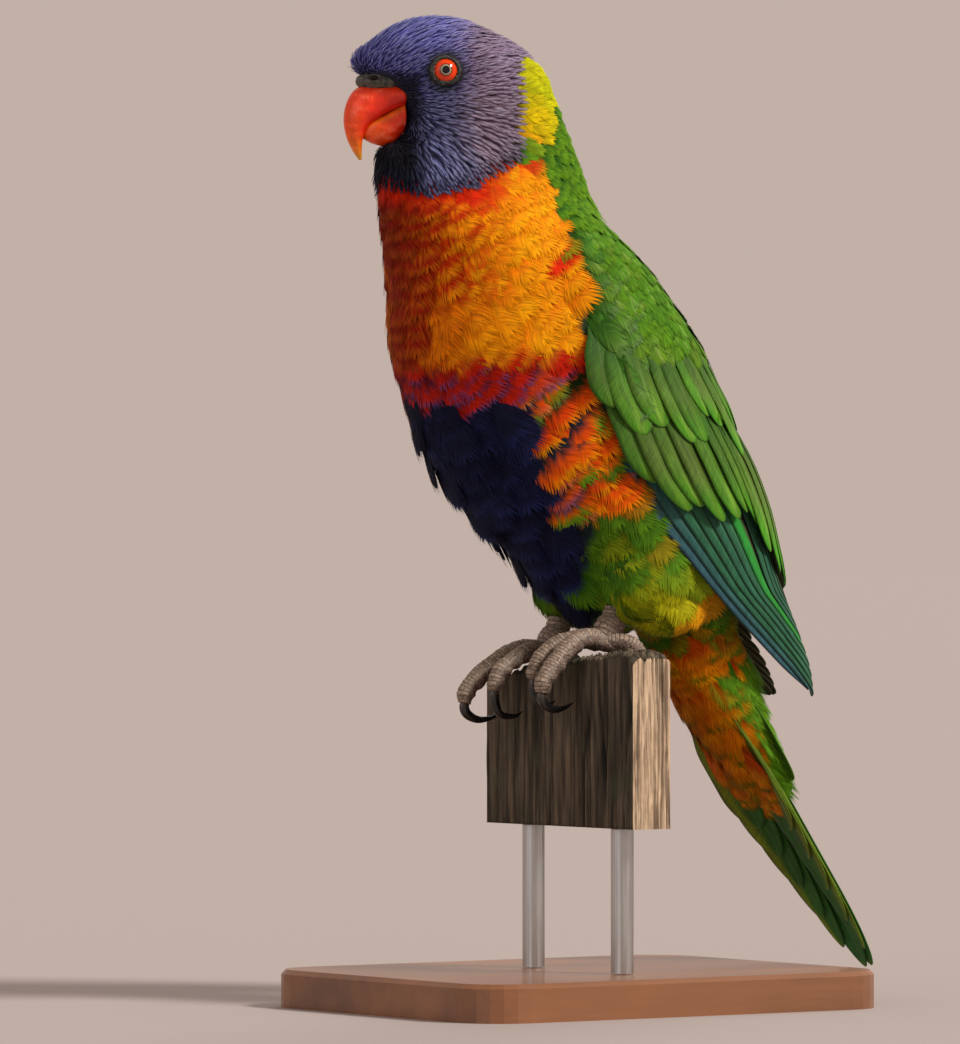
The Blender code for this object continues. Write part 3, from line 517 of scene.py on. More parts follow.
def head_plumage(p, x, v, u, r, r2):
    """The head: blue with paler streaks, browner behind the eye, black at the bill and throat."""
    a, z = uneven(p, r, r2)
    from_eye = np.hypot(a + 34.8, z - 153.2)
    rear = np.clip(smooth(a, -37, -22) * smooth(z, 126, 137) + smooth(a, -30, -20), 0, 1)
    blue = layered(VIOLET, (SLATE, smooth(z, 153, 143)), (MAUVE, 0.8 * rear))
    streak = smooth(1 - np.abs(u), 0.55, 0.98) * smooth(v, 0.25, 0.5) * smooth(v, 1.02, 0.8) * (0.45 + 0.55 * r)
    lore = np.clip(smooth(a, -38.5, -43) * smooth(z, 154.5, 151.5) + smooth(z, 133, 122) * smooth(a, -30, -44), 0, 1)
    return layered(
        times(blue, 0.85 + 0.95 * r2),
        (mixed(LAVENDER, PALE_MAUVE, smooth(a, -38, -24)), 0.88 * streak),
        (mixed(INK, LORE_GREY, r), 0.75 * smooth(from_eye, 6.4, 4.6)),
        (times(INK, 0.6 + 0.8 * r), 0.9 * lore * smooth(z, 138.5, 141.5)),
        (THROAT, np.clip(smooth(a, -37, -44) * smooth(z, 141, 134), 0, 1)),
        (mixed(THROAT, SLATE, 0.5 * r), smooth(z - head_edge(a), 7, 0.5) * 0.55),
    )


def breast_tint(a, xa, xz, v, r):
    """The breast, in level bars that fade towards the wing, with a red band at its foot. It grows more golden towards
    its sides, partly painted light, and its front is darkened to deep red, partly its own colour and partly painted
    shade.
    """
    lit = smooth(a, -44, -22)
    wave = 1.1 * np.sin(xa * 0.16 + 1.0) + 0.6 * np.sin(xa * 0.41 + r * 2.2)
    band = 0.5 + 0.5 * np.sin((xz + 0.10 * xa + wave) * 2 * math.pi / 4.3)
    bars = smooth(band + 0.45 * smooth(v, 0.92, 0.7) - 0.24, 0.35, 0.7) * (1 - smooth(xa, -30, -12))
    bars = bars * (1 - 0.75 * smooth(xz, 96, 88) * smooth(xa, -42, -34))
    foot = layered(
        mixed(DEEP_RED * 0.8, RED, 0.15 + 0.55 * r),
        (VIOLET_EDGE, smooth(v, 0.86, 0.96) * smooth(xz, 76, 72)), (NAVY, smooth(v, 0.72, 0.6) * 0.8),
    )
    return layered(
        mixed(mixed(AMBER, ORANGE, 0.55), GOLD, lit * (0.55 + 0.45 * r)),
        (mixed(DEEP_RED, RED, 0.35 + 0.5 * lit), bars * 0.92),
        # Partly its own colour, partly painted shade: the front of the breast darkened to deep red.
        (DEEP_RED * 0.72, 0.78 * smooth(xa, -34.0, -45)),
        (mixed(ORANGE, GOLD, r * 0.5), smooth(v, 0.78, 0.6) * smooth(xa, -30, -12) * 0.9),
        (RED, smooth(xz + 0.12 * (xa + 30), 115, 118.5) * smooth(xa, -17, -25) * 0.92),
        (RED, smooth(xz, 126.2, 127.4) * 0.9),
        (RED, smooth(np.hypot((xa + 4.5) / 3.6, (xz - 103.2) / 3.4), 1.1, 0.5)),
        (foot, smooth(xz - 0.10 * (xa + 20), 79.5, 76.5)),
    )


def flank_tint(past, v, r, r2):
    """The flank's bars, past mm behind the belly: dark roots, red, orange and gold."""
    return layered(
        mixed(BOTTLE * 0.45, NAVY, (r2 > 0.5) * 0.6),
        (mixed(RED, ORANGE, 0.25 + 0.7 * r), smooth(v, 0.56, 0.70)),
        (mixed(ORANGE, GOLD, 0.3 + 0.7 * r2), smooth(v, 0.80, 0.93)),
        (VIOLET_EDGE, smooth(past, 4.5, 1.0) * smooth(v, 0.72, 0.9) * (r2 < 0.6) * 0.8),
        (mixed(MOSS * 0.7, LEAF, r2), (r > 0.76) * smooth(v, 0.7, 0.8)),
    )


def thigh_tint(a, z, v, r, r2):
    """The thigh, gold towards its foot, and the orange vent behind it."""
    vent = layered(
        mixed(DEEP_RED, ORANGE, 0.5), (mixed(AMBER, GOLD, r), smooth(v, 0.6, 0.8)),
        (mixed(MOSS, LIME, r * 0.5), smooth(v, 0.82, 0.92) * (r2 > 0.55)),
    )
    return layered(
        times(MOSS, 0.75 + 0.4 * r), (LEAF, smooth(v, 0.45, 1) * 0.6),
        (mixed(LIME, YELLOW, 0.4), smooth(np.hypot((a - 23) / 13, (z - 15.5) / 9), 1.1, 0.45) * (0.55 + 0.4 * r)),
        (AMBER, smooth(np.hypot((a - 31) / 6, (z - 13) / 7), 1, 0.3) * 0.7),
        (mixed(AMBER, LIME, r2), (r > 0.86) * 0.3), (vent, smooth(z, 5.5, 2.5)),
    )


def body_plumage(p, x, v, u, r, r2):
    """The body: breast, belly, flank, thigh and back."""
    a, z = uneven(p, r, r2)
    xa, xz = beside(x)
    belly = mixed(times(NAVY, 0.5 + 0.45 * r2), BLUE_EDGE, smooth(v, 0.7, 1) * (0.1 + 0.55 * r))
    border = 66.5 + 0.1 * (a + 30) + 3 * np.sin(a * 0.45)
    past = a - belly_to(z)
    leg = mixed(belly, thigh_tint(a, z, v, r, r2), smooth(past, -1.5, 1.5))
    back = layered(
        times(GREEN, 0.8 + 0.35 * r), (LEAF, smooth(v, 0.5, 1) * 0.5), (MOSS * 0.7, smooth(v, 0.8, 0.6)),
        (ORANGE, 0.5 * (r2 > 0.96) * smooth(z, 92, 100) * smooth(a, 3, 8)),
    )
    is_back = smooth(a - green_from(z), -0.6, 0.6) * (z > 60) + behind_legs(p[..., 1], z)
    return layered(
        breast_tint(a, xa, xz, v, r),
        (belly, smooth(z, border + 1.0, border - 1.0)),
        (flank_tint(past, v, r, r2), smooth(past, -1.2, 1.0) * smooth(z, 76, 70)),
        (leg, smooth(z - 0.25 * a, 41, 37)),
        (back, np.clip(is_back, 0, 1)),
    )


def neck_plumage(p, x, v, u, r, r2):
    """The yellow collar, and the body's colours round it."""
    a, z = beside(p)
    collar = layered(
        mixed(AMBER, YELLOW, smooth(z, 132, 139)), (LIME, smooth(z, 141, 150) * 0.7), (LIME, 0.5 * smooth(a, -13, -9)),
        (LIME, 0.25 * (r2 > 0.6)), (mixed(MOSS, LEAF, r), smooth(z, 136.5, 133)),
    )
    collar = times(collar, 0.84 + 0.3 * smooth(v, 0.5, 0.9) + 0.12 * r)
    inside = is_collar(np.maximum(a, HEAD_REAR + 0.1), z) | (z > 150)
    return np.where(inside[..., None], collar, body_plumage(p, x, v, u, r, r2))


def plumage(p, x, v, u, r, r2):
    """The colour of whichever feathers show at a place."""
    out = neck_plumage(p, x, v, u, r, r2)
    return np.where(is_head(*beside(p))[..., None], head_plumage(p, x, v, u, r, r2), out)


def small_covert_tint(p, x, v, u, r, r2):
    """Small wing coverts: olive green, bluer at the wing's bend, some with a frosty edge or a paler shaft."""
    at, across, _ = wing_place(p)
    frost = (r2 < 0.6) * smooth(v, 0.72, 1) * 0.4 * smooth(across, 0.45, 0.2) * smooth(at, 1.5, 3)
    return layered(
        times(mixed(GREEN, tone(58, 104, 46), smooth(across, 0.3, 0.05) * 0.6), 0.72 + 0.36 * r),
        (tone(128, 148, 108), frost), (OLIVE, (r2 > 0.8) * 0.35), (LEAF, smooth(v, 0.6, 1) * 0.35 * (r2 > 0.5)),
        (MOSS * 0.6, smooth(v, 0.62, 0.45)),
        (tone(150, 172, 96), smooth(np.abs(u), 0.10, 0.02) * 0.5 * (r > 0.7) * smooth(v, 0.5, 0.8)),
    )


def tail_side(p):
    """Where points stand along the tail, and how far above its middle line."""
    away = p - TAIL_ROOT
    return away @ TAIL_WAY, away @ TAIL_BACK


def tail_tint(p, x, v, u, r, r2):
    """The small feathers over the tail's roots: green above, orange below."""
    top = mixed(times(GREEN, 0.75 + 0.35 * r), LEAF, smooth(v, 0.5, 1) * 0.4)
    under = layered(
        mixed(DEEP_RED, ORANGE, 0.6 + 0.4 * r2), (mixed(AMBER, GOLD, r), smooth(v, 0.5, 0.78)),
        (mixed(MOSS, LEAF, r), smooth(v, 0.82, 0.92) * (r2 > 0.5)),
    )
    return mixed(under, top, smooth(tail_side(p)[1], -4.6, -2.6))


# The skin under the plumage

SKIN_STEP = 1.3
BODY_DEPTH, NECK_SHARE, NECK_FROM = 2.0, 0.62, 0.125


def round_shape(middle, radii, axes, rows=24, sides=32):
    """Rings of an ellipsoid on its own axes."""
    polar, around = math.pi * np.linspace(0.01, 0.99, rows), circle(sides)
    local = np.stack([
        radii[0] * np.outer(np.sin(polar), np.cos(around)),
        radii[1] * np.outer(np.sin(polar), np.sin(around)),
        radii[2] * np.outer(np.cos(polar), np.ones(sides)),
    ], -1)
    return [np.asarray(middle) + ring @ np.asarray(axes, float) for ring in local]


def skin_shapes():
    """The closed shapes that the skin is made from, each with how far it lies under the plumage."""
    turn = circle(56, 0.5)
    yield closed_rings([body_point(np.full(56, at), turn) for at in np.linspace(0, 25, 90)]), BODY_DEPTH
    # the full chin and forehead under and over the bill
    for middle, radii in (((13.0, 0.0, 130.4), (8.0, 6.2, 5.6)), ((17.4, 0.0, 156.2), (8.6, 8.0, 4.6))):
        yield closed_rings(round_shape(head_point(*middle), radii, (LEFT, AHEAD, UP))), 0.0
    lean = math.radians(24.0)
    axes = ((1, 0, 0), (0, math.cos(lean), -math.sin(lean)), (0, math.sin(lean), math.cos(lean)))
    t = np.concatenate([np.linspace(0, 1, 12), np.linspace(1, 0, 12)])
    for side in (1, -1):
        # the thigh, and the hollow behind it, filled
        yield closed_rings(round_shape((side * 16.8, 11.0, 25.0), (9.4, 14.0, 17.0), axes)), 1.8
        yield closed_rings(round_shape((side * 13.0, 19.0, 12.4), (9.4, 11.4, 7.2), np.eye(3))), 1.5
        # a sheet under the wing's feathers
        rings = []
        for at in np.linspace(0.3, 7.6, 30):
            top, low = np.interp(at, (0.2, 2.0, 3.6, 5.0, 6.4, 7.6), (-1.6, -1.1, -1.3, -2.0, -3.0, -3.5)), -6.5
            h = np.repeat([top, low], 12)
            h[[0, 11, 12, 23]] = top * 0.7 + low * 0.3
            rings.append(wing_point(side, np.full(24, at), t, h))
        yield closed_rings(rings), 0.0
    turn = circle(32, 0.5)
    rings = []
    for at in np.linspace(0, 8, 30):
        distance, below, above, half = spline(TAIL_BULK, at)
        high = np.where(np.cos(turn) > 0, above, below)
        rings.append(tail_point(np.full(32, distance), half * np.sin(turn), high * np.cos(turn)))
    yield closed_rings(rings), 1.5


def make_skin():
    """The skin, one even mesh round all its shapes, as points in mm and quads."""
    work = bmesh.new()
    for (co, quads), depth in skin_shapes():
        part = bmesh.new()
        corners = [part.verts.new(tuple(c * MM)) for c in co]
        for quad in quads:
            part.faces.new([corners[i] for i in quad])
        face_outward(part)
        part.normal_update()
        for vert, normal in [(v, v.normal.copy()) for v in part.verts]:
            shallow = NECK_SHARE if depth == BODY_DEPTH and vert.co.z > NECK_FROM else 1.0
            vert.co -= normal * depth * shallow * MM
        mesh = bpy.data.meshes.new("part")
        part.to_mesh(mesh)
        part.free()
        work.from_mesh(mesh)
        bpy.data.meshes.remove(mesh)
    mesh = bpy.data.meshes.new("skin")
    work.to_mesh(mesh)
    work.free()
    made = bpy.data.objects.new("skin", mesh)
    bpy.context.scene.collection.objects.link(made)
    remesh = made.modifiers.new("remesh", "REMESH")
    remesh.mode, remesh.voxel_size = "VOXEL", SKIN_STEP * MM
    even = made.modifiers.new("even", "SMOOTH")
    even.factor, even.iterations = 0.5, 5
    final = bpy.data.meshes.new_from_object(made.evaluated_get(bpy.context.evaluated_depsgraph_get()))
    bpy.data.objects.remove(made)
    bpy.data.meshes.remove(mesh)
    co = np.zeros(len(final.vertices) * 3)
    final.vertices.foreach_get("co", co)
    quads = np.array([tuple(f.vertices) for f in final.polygons if len(f.vertices) == 4], np.int32)
    bpy.data.meshes.remove(final)
    return co.reshape(-1, 3) / MM, quads


skin_co, skin_quads = make_skin()
skin_tree = BVHTree.FromPolygons([tuple(c) for c in skin_co], [tuple(q) for q in skin_quads])


def on_skin(points):
    """The nearest places on the skin and the directions out of it there."""
    found = [skin_tree.find_nearest(tuple(p)) for p in points]
    return np.array([tuple(f[0]) for f in found]), np.array([tuple(f[1]) for f in found])


def wing_place(p):
    """Where points stand on the folded wing: along it, across it, and how far out, 1 being its surface."""
    upward_rows = WING[::-1]
    at = np.interp(p[..., 2], upward_rows[:, 1], np.arange(len(WING))[::-1].astype(float))
    y, _, half, back, front, first, last = (
        np.interp(p[..., 2], upward_rows[:, 1], upward_rows[:, k]) for k in range(WING.shape[1])
    )
    away = y - p[..., 1]
    reach = np.where(away > 0, front, back)
    angle = np.degrees(np.arctan2(np.abs(p[..., 0]) / half, away / reach))
    return at, (angle - first) / (last - first), np.hypot(p[..., 0] / half, away / reach)


def skin_samples(count):
    """Evenly drawn places on the skin, and the directions out of it there."""
    a, b, c, d = (skin_co[skin_quads[:, k]] for k in range(4))
    area = np.linalg.norm(np.cross(c - a, d - b), axis=1) / 2
    pick = rng.choice(len(area), count, p=area / area.sum())
    s, t = rng.random(count)[:, None], rng.random(count)[:, None]
    out = unit(np.cross(c - a, d - b))[pick]
    return (a[pick] * (1 - s) + b[pick] * s) * (1 - t) + (d[pick] * (1 - s) + c[pick] * s) * t, out


def spaced(points, gap):
    """The points that keep their own gap from those kept before them."""
    kept, cells = [], {}
    steps = list(product((-1, 0, 1), repeat=3))
    for i, (p, key) in enumerate(zip(points, np.floor(points / float(gap.max())).astype(int))):
        g = gap[i] ** 2
        free = all(
            (p[0] - q[0]) ** 2 + (p[1] - q[1]) ** 2 + (p[2] - q[2]) ** 2 >= g
            for dx, dy, dz in steps for q in cells.get((key[0] + dx, key[1] + dy, key[2] + dz), ())
        )
        if free:
            cells.setdefault(tuple(key), []).append(tuple(p))
            kept.append(i)
    return np.array(kept)


BILL_ROOT = head_point(19.0, 0.0, 146.0)


def along_surface(way, normal):
    """Directions laid flat on a surface."""
    return unit(way - (way * normal).sum(-1)[:, None] * normal)


def lie(p, normal):
    """The way the feathers point: back from the bill on the head, then down the body and along the tail."""
    _, z = beside(p)
    from_bill = unit(unit(p - BILL_ROOT) + smooth(z, 149, 158)[:, None] * AHEAD * -0.95)
    spread = smooth(np.abs(p[:, 0]), 2, 18) * smooth(p[:, 1], 30, -10)
    spread = spread * np.interp(z, [20, 60, 85, 100, 118, 126], [0.1, 0.3, 0.5, 0.75, 0.5, 0.2])
    down = BODY_WAY + np.stack([np.sign(p[:, 0]) * spread, spread * 0.55, np.zeros_like(spread)], -1)
    way = mixed(mixed(from_bill, unit(down), smooth(z, 142, 122)), TAIL_WAY, smooth(z, 14, 2))
    return along_surface(way, normal)


STATIONS = 6


def laid(roots, length, wander=0.08):
    """Centre lines that run along the skin from the roots: places, directions out and directions across."""
    p, n = on_skin(roots)
    d = lie(p, n)
    side = unit(np.cross(d, n))
    d = unit(d + side * (rng.normal(0, wander, len(p)))[:, None])
    places, outs, sides = [p], [n], [unit(np.cross(d, n))]
    step = (length / (STATIONS - 1))[:, None]
    for _ in range(STATIONS - 1):
        q, m = on_skin(p + d * step)
        n = unit(n * 0.45 + m * 0.55)
        d = along_surface(unit(unit(q - p) * 0.6 + d * 0.4), n)
        p = q
        places.append(p)
        outs.append(n)
        sides.append(unit(np.cross(d, n)))
    return np.stack(places, 1), np.stack(outs, 1), np.stack(sides, 1)


def straight(roots, length, way, out=None):
    """Centre lines that run straight on in the direction way, the feathers' backs to the direction out."""
    n = on_skin(roots)[1] if out is None else np.repeat(out[None], len(roots), 0)
    way = np.repeat(unit(way)[None], len(roots), 0)
    n = along_surface(n, way)
    steps = length[:, None, None] * np.linspace(0, 1, STATIONS)[None, :, None]
    outs, sides = (np.repeat(x[:, None], STATIONS, 1) for x in (n, np.cross(way, n)))
    return roots[:, None] + way[:, None] * steps, outs, sides


def along(stack, v):
    """Values of stack, feather by station by 3, at the shares v of the length."""
    at = v * (stack.shape[1] - 1)
    i = np.clip(np.floor(at).astype(int), 0, stack.shape[1] - 2)
    f = (at - i)[None, :, None]
    return stack[:, i] * (1 - f) + stack[:, i + 1] * f


def skin_map(p):
    """An unwrap of the skin: round the body, and down it."""
    z = p[..., 2]
    cy = np.where(z < 12, 30 + (12 - z) * 0.68, body_at(z, 1))
    return np.stack([
        0.5 + 0.46 * np.arctan2(p[..., 0], cy - p[..., 1]) / math.pi,
        0.04 + 0.92 * np.clip((z + 30) / 200, 0, 1),
    ], -1)


# Half the size of a tuft's patch on OFBake, and the length of feather that Vane takes as 1
PATCH = 0.0014
VANE_LENGTH = 12.0


def set_feathers(coat, template, lines, half, root_height, tip_height, length, tint, camber, rise):
    """Lays one template along every centre line."""
    tu, tv, tw, faces, tone_of, group = template
    places, outs, sides = lines
    count, many = len(places), len(tu)
    c, n, s = along(places, tv), along(outs, tv), along(sides, tv)
    lift = root_height + (tip_height - root_height)[:, None] * tv[None, :] ** rise
    lift = lift + tw[None, :] - camber * tu[None, :] ** 2 * half[:, None]
    co = c + s * (tu[None, :, None] * half[:, None, None]) + n * lift[..., None]
    r, r2 = rng.random(count), rng.random(count)
    showing, v, u, own, own2 = (
        np.broadcast_to(x, (count, many, *x.shape[2:])) for x in (places[:, 3:4], tv, tu, r[:, None], r2[:, None])
    )
    colours = tint(showing, c, v, u, own, own2)
    colours = colours * tone_of[None, :, None] * (1 + 0.16 * (rng.random((count, many))[:, group] - 0.5))[..., None]
    bake = skin_map(places[:, 0])[:, None] + np.stack([tu, 2 * tv - 1], -1)[None] * PATCH
    vane = np.stack([u * 0.5 + 0.5, tv[None] * (length / VANE_LENGTH)[:, None] + r[:, None] * 7], -1)
    tris = (faces[None] + (np.arange(count) * many)[:, None, None]).reshape(-1, 3)
    coat.add(co.reshape(-1, 3), tris, colours.reshape(-1, 3), bake.reshape(-1, 2), vane.reshape(-1, 2))


def flock(coat, templates, roots, length, half, depth, tint, root_height=-0.35, wander=0.08, rise=0.8, camber=0.12,
          lines=None):
    """Lays feathers at the roots, in turn with each template."""
    if lines is None:
        lines = laid(roots, length, wander)
    high = depth * (0.82 + 0.36 * rng.random(len(roots)))
    for k, template in enumerate(templates):
        mine = slice(k, None, len(templates))
        chosen = tuple(x[mine] for x in lines)
        set_feathers(coat, template, chosen, half[mine], root_height, high[mine], length[mine], tint, camber, rise)


# A template is one feather in shares of its own half width and length: across, along and height of each point, the
# triangles, how bright each point is, and the point whose random draw it shares.

def vane_faces(rows):
    """Triangles over rows of three points."""
    corners = [(3 * i + j, 3 * i + j + 1, 3 * i + j + 4, 3 * i + j + 3) for i in range(rows - 1) for j in (0, 1)]
    return [face for a, b, c, d in corners for face in ((a, b, c), (a, c, d))]


def as_template(u, v, w, faces, bright, group, longest=1.0):
    return (np.array(u), np.clip(np.array(v), 0, longest), np.array(w), np.array(faces, np.int32), np.array(bright),
            np.array(group))


def fringe_template(barbs, seed, slack=0.05, under=0.86, fan=0.5, ridge=0.05):
    """A soft feather: a thin vane with separate barbs over it that sweep on into a fringe."""
    draw = np.random.default_rng(seed)
    u, v, w = [], [], []
    rim = np.linspace(0, 1, 6)
    longest = 1.06
    for t in rim:
        edge = math.cos(t * math.pi / 2) ** 0.6 * under if t else 0.55 * under
        down = (fan + (1 - fan) * math.sin(t * math.pi / 2)) * under if t else 0.0
        u += [-edge, 0.0, edge]
        v += [down] * 3
        w += [-0.14, -0.06, -0.14]
    # The vane beneath the barbs is 0.62 as bright as they are: painted shade under the barbs.
    bright, group, faces = [0.62] * len(u), [0] * len(u), vane_faces(len(rim))
    wide = 0.80 / barbs
    for side, k in product((-1, 1), range(barbs)):
        t = (k + 0.5) / barbs
        start = np.array([0.0, 0.02 + 0.82 * t])
        end = np.array([
            side * math.cos(t * math.pi / 2) ** 0.62,
            fan + (1 - fan) * math.sin(t * math.pi / 2) + 0.03 * draw.normal(),
        ])
        end[0] += 0.03 * draw.normal()
        end = start + (end - start) * (1 + slack * draw.normal())
        end[1] = min(end[1], longest)
        bow = side * (0.16 * (1 - t) + 0.03)
        path = [start, start * 0.64 + end * 0.36, start * 0.30 + end * 0.70, end]
        path[1] = path[1] + np.array([bow, -0.03 * (1 - t)])
        path[2] = path[2] + np.array([bow * 0.75 + 0.014 * draw.normal(), 0.0])
        shade = 0.66 + 0.46 * draw.random()
        a = len(u)
        for q, share, high in ((0, 0.8, 0.0), (1, 1.1, ridge), (2, 0.66, ridge * 0.6)):
            way = unit(path[q + 1] - path[q])
            over = np.array([-way[1], way[0]])
            for sign in (-1, 1):
                spot = path[q] + over * sign * wide * share
                u.append(spot[0])
                v.append(max(spot[1], 0.0))
                w.append(high + 0.03 * draw.random() + 0.025 * sign)
        u.append(path[3][0])
        v.append(path[3][1])
        w.append(0.08 * draw.random())
        bright += [shade * 0.9] * 2 + [shade] * 4 + [shade * 1.06]
        group += [a] * 7
        faces += [(a, a + 1, a + 3), (a, a + 3, a + 2), (a + 2, a + 3, a + 5), (a + 2, a + 5, a + 4)]
        faces.append((a + 4, a + 5, a + 6))
    return as_template(u, v, w, faces, bright, group, longest)


def lance_template(seed):
    """A narrow pointed head feather with loose barbs along it."""
    draw = np.random.default_rng(seed)
    u, v, w = [], [], []
    for down, edge in ((0.0, 0.45), (0.3, 0.8), (0.62, 0.7), (0.86, 0.36)):
        u += [-edge, 0.0, edge]
        v += [down] * 3
        w += [-0.03, 0.08, -0.03]
    u, v, w = [*u, 0.0], [*v, 1.0], [*w, 0.05]
    faces = [*vane_faces(4), (9, 10, 12), (10, 11, 12)]
    group = [0] * len(u)
    for side, t in product((-1, 1), (0.12, 0.3, 0.48, 0.62)):
        first = len(u)
        t = t + 0.05 * draw.normal()
        u += [side * 0.1, side * 0.3, side * (0.9 + 0.3 * draw.random())]
        v += [t, t - 0.05, t + 0.34 + 0.1 * draw.random()]
        w += [0.04, 0.02, 0.06]
        faces.append((first, first + 1, first + 2))
        group += [first] * 3
    return as_template(u, v, w, faces, [1.0] * len(u), group)


# Where the feathers are rooted: places drawn over the whole skin, each in its part of the bird

samples, outward = skin_samples(300000)
flow = lie(samples, outward)


def shown(reach):
    """Where feathers rooted at the samples show, reach mm further on: across the flank, and their height."""
    return beside(samples + flow * np.asarray(reach, float).reshape(-1, 1))


def planted(where, gap):
    """The samples, of those marked in where, that become roots: they keep their gap from each other."""
    pool = np.flatnonzero(where)
    return pool[spaced(samples[pool], np.broadcast_to(gap, len(samples))[pool])]


s_up = samples[:, 2]
s_wing = wing_place(samples)
s_tail = tail_side(samples)[0]
forward, sideways, upward = in_head(samples)
eye_middle = head_point(EYE_PLACE[0], np.array([1.0, -1.0]) * EYE_PLACE[1], EYE_PLACE[2])
eye_gap = np.minimum(*(np.linalg.norm(samples - e, axis=1) for e in eye_middle))
# no feathers under the lids, the cere and the bill
above_chin = upward > 135.6
bare = eye_gap < 3.75
bare |= (forward > 15.0) & (upward < 153.1 - 0.10 * (forward - 20)) & above_chin & (np.abs(sideways) < 6.5)
bare |= (forward > 12.4) & above_chin & (upward < 149.0) & (np.abs(sideways) < 5.2)
on_wing = (s_wing[0] > 0.25) & (s_wing[1] > 0.015) & (s_wing[1] < 0.985) & (s_wing[2] > 0.8) & (s_up < 117)
over_wing = np.zeros(len(samples), bool)
for reach, start in ((6.0, 1.2), (11.0, 1.2), (15.0, 3.6)):
    far, far_across, far_out = wing_place(samples + flow * reach)
    inside = (far_across > 0.035 - 0.05 * (far > 3.2)) & (far_across < 0.95)
    over_wing |= (far > start) & inside & (far_out > 0.6) & (s_wing[0] > 0)

# Head
near = np.minimum(eye_gap - 4.0, np.maximum(np.linalg.norm(samples - BILL_ROOT, axis=1) - 8.5, 0))
grow = smooth(near, 0, 11)
s_head = is_head(*shown(0.5 + 1.2 * grow))
border = s_head & ~is_head(*shown(3.5 + 3.5 * grow))
front = smooth(forward, 14, 21) * smooth(upward, 151, 153) * smooth(upward, 160, 155)
keep = planted(s_head & ~bare, 0.50 + 0.46 * grow)
g = grow[keep]
head_coat = Coat()
flock(
    head_coat, [lance_template(k) for k in range(4)], samples[keep],
    (2.1 + 3.7 * g + rng.random(len(keep))) * (1 - 0.42 * border[keep]) * (1 - 0.25 * front[keep]),
    0.28 + 0.26 * g, 0.62 + 0.65 * g + 0.35 * front[keep] + 0.45 * border[keep] * (s_up[keep] < 150),
    head_plumage, -0.2, 0.12,
)
# short dark bristles over the cere
keep = planted((forward > 21.5) & (upward > 151.5) & (upward < 154.5) & (np.abs(sideways) < 7), 1.3)[:26]
long = 2.2 + 1.4 * rng.random(len(keep))
flock(head_coat, [lance_template(9)], samples[keep], long, np.full(len(keep), 0.10), np.full(len(keep), 0.3),
      lambda p, x, v, u, r, r2: x * 0 + INK * 0.5, 0.0,
      lines=straight(samples[keep] - AHEAD * 0.6, long, AHEAD + 0.25 * UP))
head_coat.piece("head_plumes", FINE)

# Neck, breast, belly, flanks, thighs
here = beside(samples)[0]
body_pool = ~bare & ~on_wing & ~over_wing & (s_tail < 16)
backward = (here > green_from(s_up)) & (s_up > 60) | behind_legs(samples[:, 1], s_up)
fringes = [fringe_template(32, k, 0.035, 0.86, 0.66) for k in range(5)]
small_fringes = [fringe_template(13, 20 + k) for k in range(4)]

neck = is_collar(*shown(5.5)) | is_collar(*shown(3.0)) | backward & (s_up > 112)
neck &= ~is_head(*shown(3.6))
keep = planted(body_pool & neck, 2.1)
neck_coat = Coat()
flock(neck_coat, small_fringes, samples[keep], 8.5 + 2 * rng.random(len(keep)), np.full(len(keep), 2.2),
      1.5 - 0.6 * is_head(*shown(2.0))[keep], neck_plumage)
neck_coat.piece("neck_feathers", SOFT)

size = (0.70 + 0.30 * smooth(s_up, 126, 100)) * (1 - 0.25 * smooth(s_up, 22, 8))
below_head = ~is_head(*shown(9.5 * size)) & (shown(8.5 * size)[1] < 132)
keep = planted(body_pool & below_head & ~neck & ~backward, 3.8 * size)
keep = keep[np.argsort(-samples[keep][:, 2])]
cuts = (0, int(len(keep) * 0.36), int(len(keep) * 0.68), len(keep))
for name, first, last in zip(("breast_feathers", "belly_feathers", "thigh_feathers"), cuts[:-1], cuts[1:]):
    coat, at = Coat(), keep[first:last]
    of = size[at]
    edge = smooth(s_wing[1][at], -0.22, 0.0) * (s_up[at] < 108)
    loose = 3.3 * rng.random(len(at)) ** 2 * smooth(s_up[at], 80, 64) * (here[at] < -4)
    flock(coat, fringes, samples[at], of * (13.5 + 3.0 * rng.random(len(at))), of * (5.3 + rng.random(len(at))),
          1.5 + 1.4 * edge + loose - 0.75 * is_head(*shown(3.0))[at], body_plumage, -0.4, 0.06)
    coat.piece(name, SOFT)

# Back and rump, and the small feathers over and under the tail's roots
keep = planted(body_pool & backward & ~neck, 3.1)
back_coat = Coat()
flock(back_coat, fringes, samples[keep], 11 + 3 * rng.random(len(keep)), 3.6 + 0.8 * rng.random(len(keep)),
      np.full(len(keep), 1.7), body_plumage, -0.4)
keep = planted((s_tail >= 10) & (s_tail < 45) & (s_up < 12) & ~on_wing, 3.4)
long = 15 + 4 * rng.random(len(keep))
flock(back_coat, fringes, samples[keep], long, 4.0 + rng.random(len(keep)), np.full(len(keep), 1.4), tail_tint, -0.4,
      lines=straight(samples[keep], long, TAIL_WAY))
for d in np.arange(39.0, 55.5, 2.2):
    across = np.arange(-7.5, 7.6, 2.5) + 0.6 * rng.normal(size=7)
    roots = tail_point(d + rng.normal(size=7), across, -6.4 + 0.13 * (d - 40) - 0.01 * across ** 2)
    long = 10 + 3 * rng.random(7)
    flock(back_coat, fringes, roots, long, 3.4 + rng.random(7), np.full(7, 0.5), tail_tint, 0.0,
          lines=straight(roots, long, TAIL_WAY + 0.05 * TAIL_BACK, -TAIL_BACK))
back_coat.piece("back_feathers", SOFT)

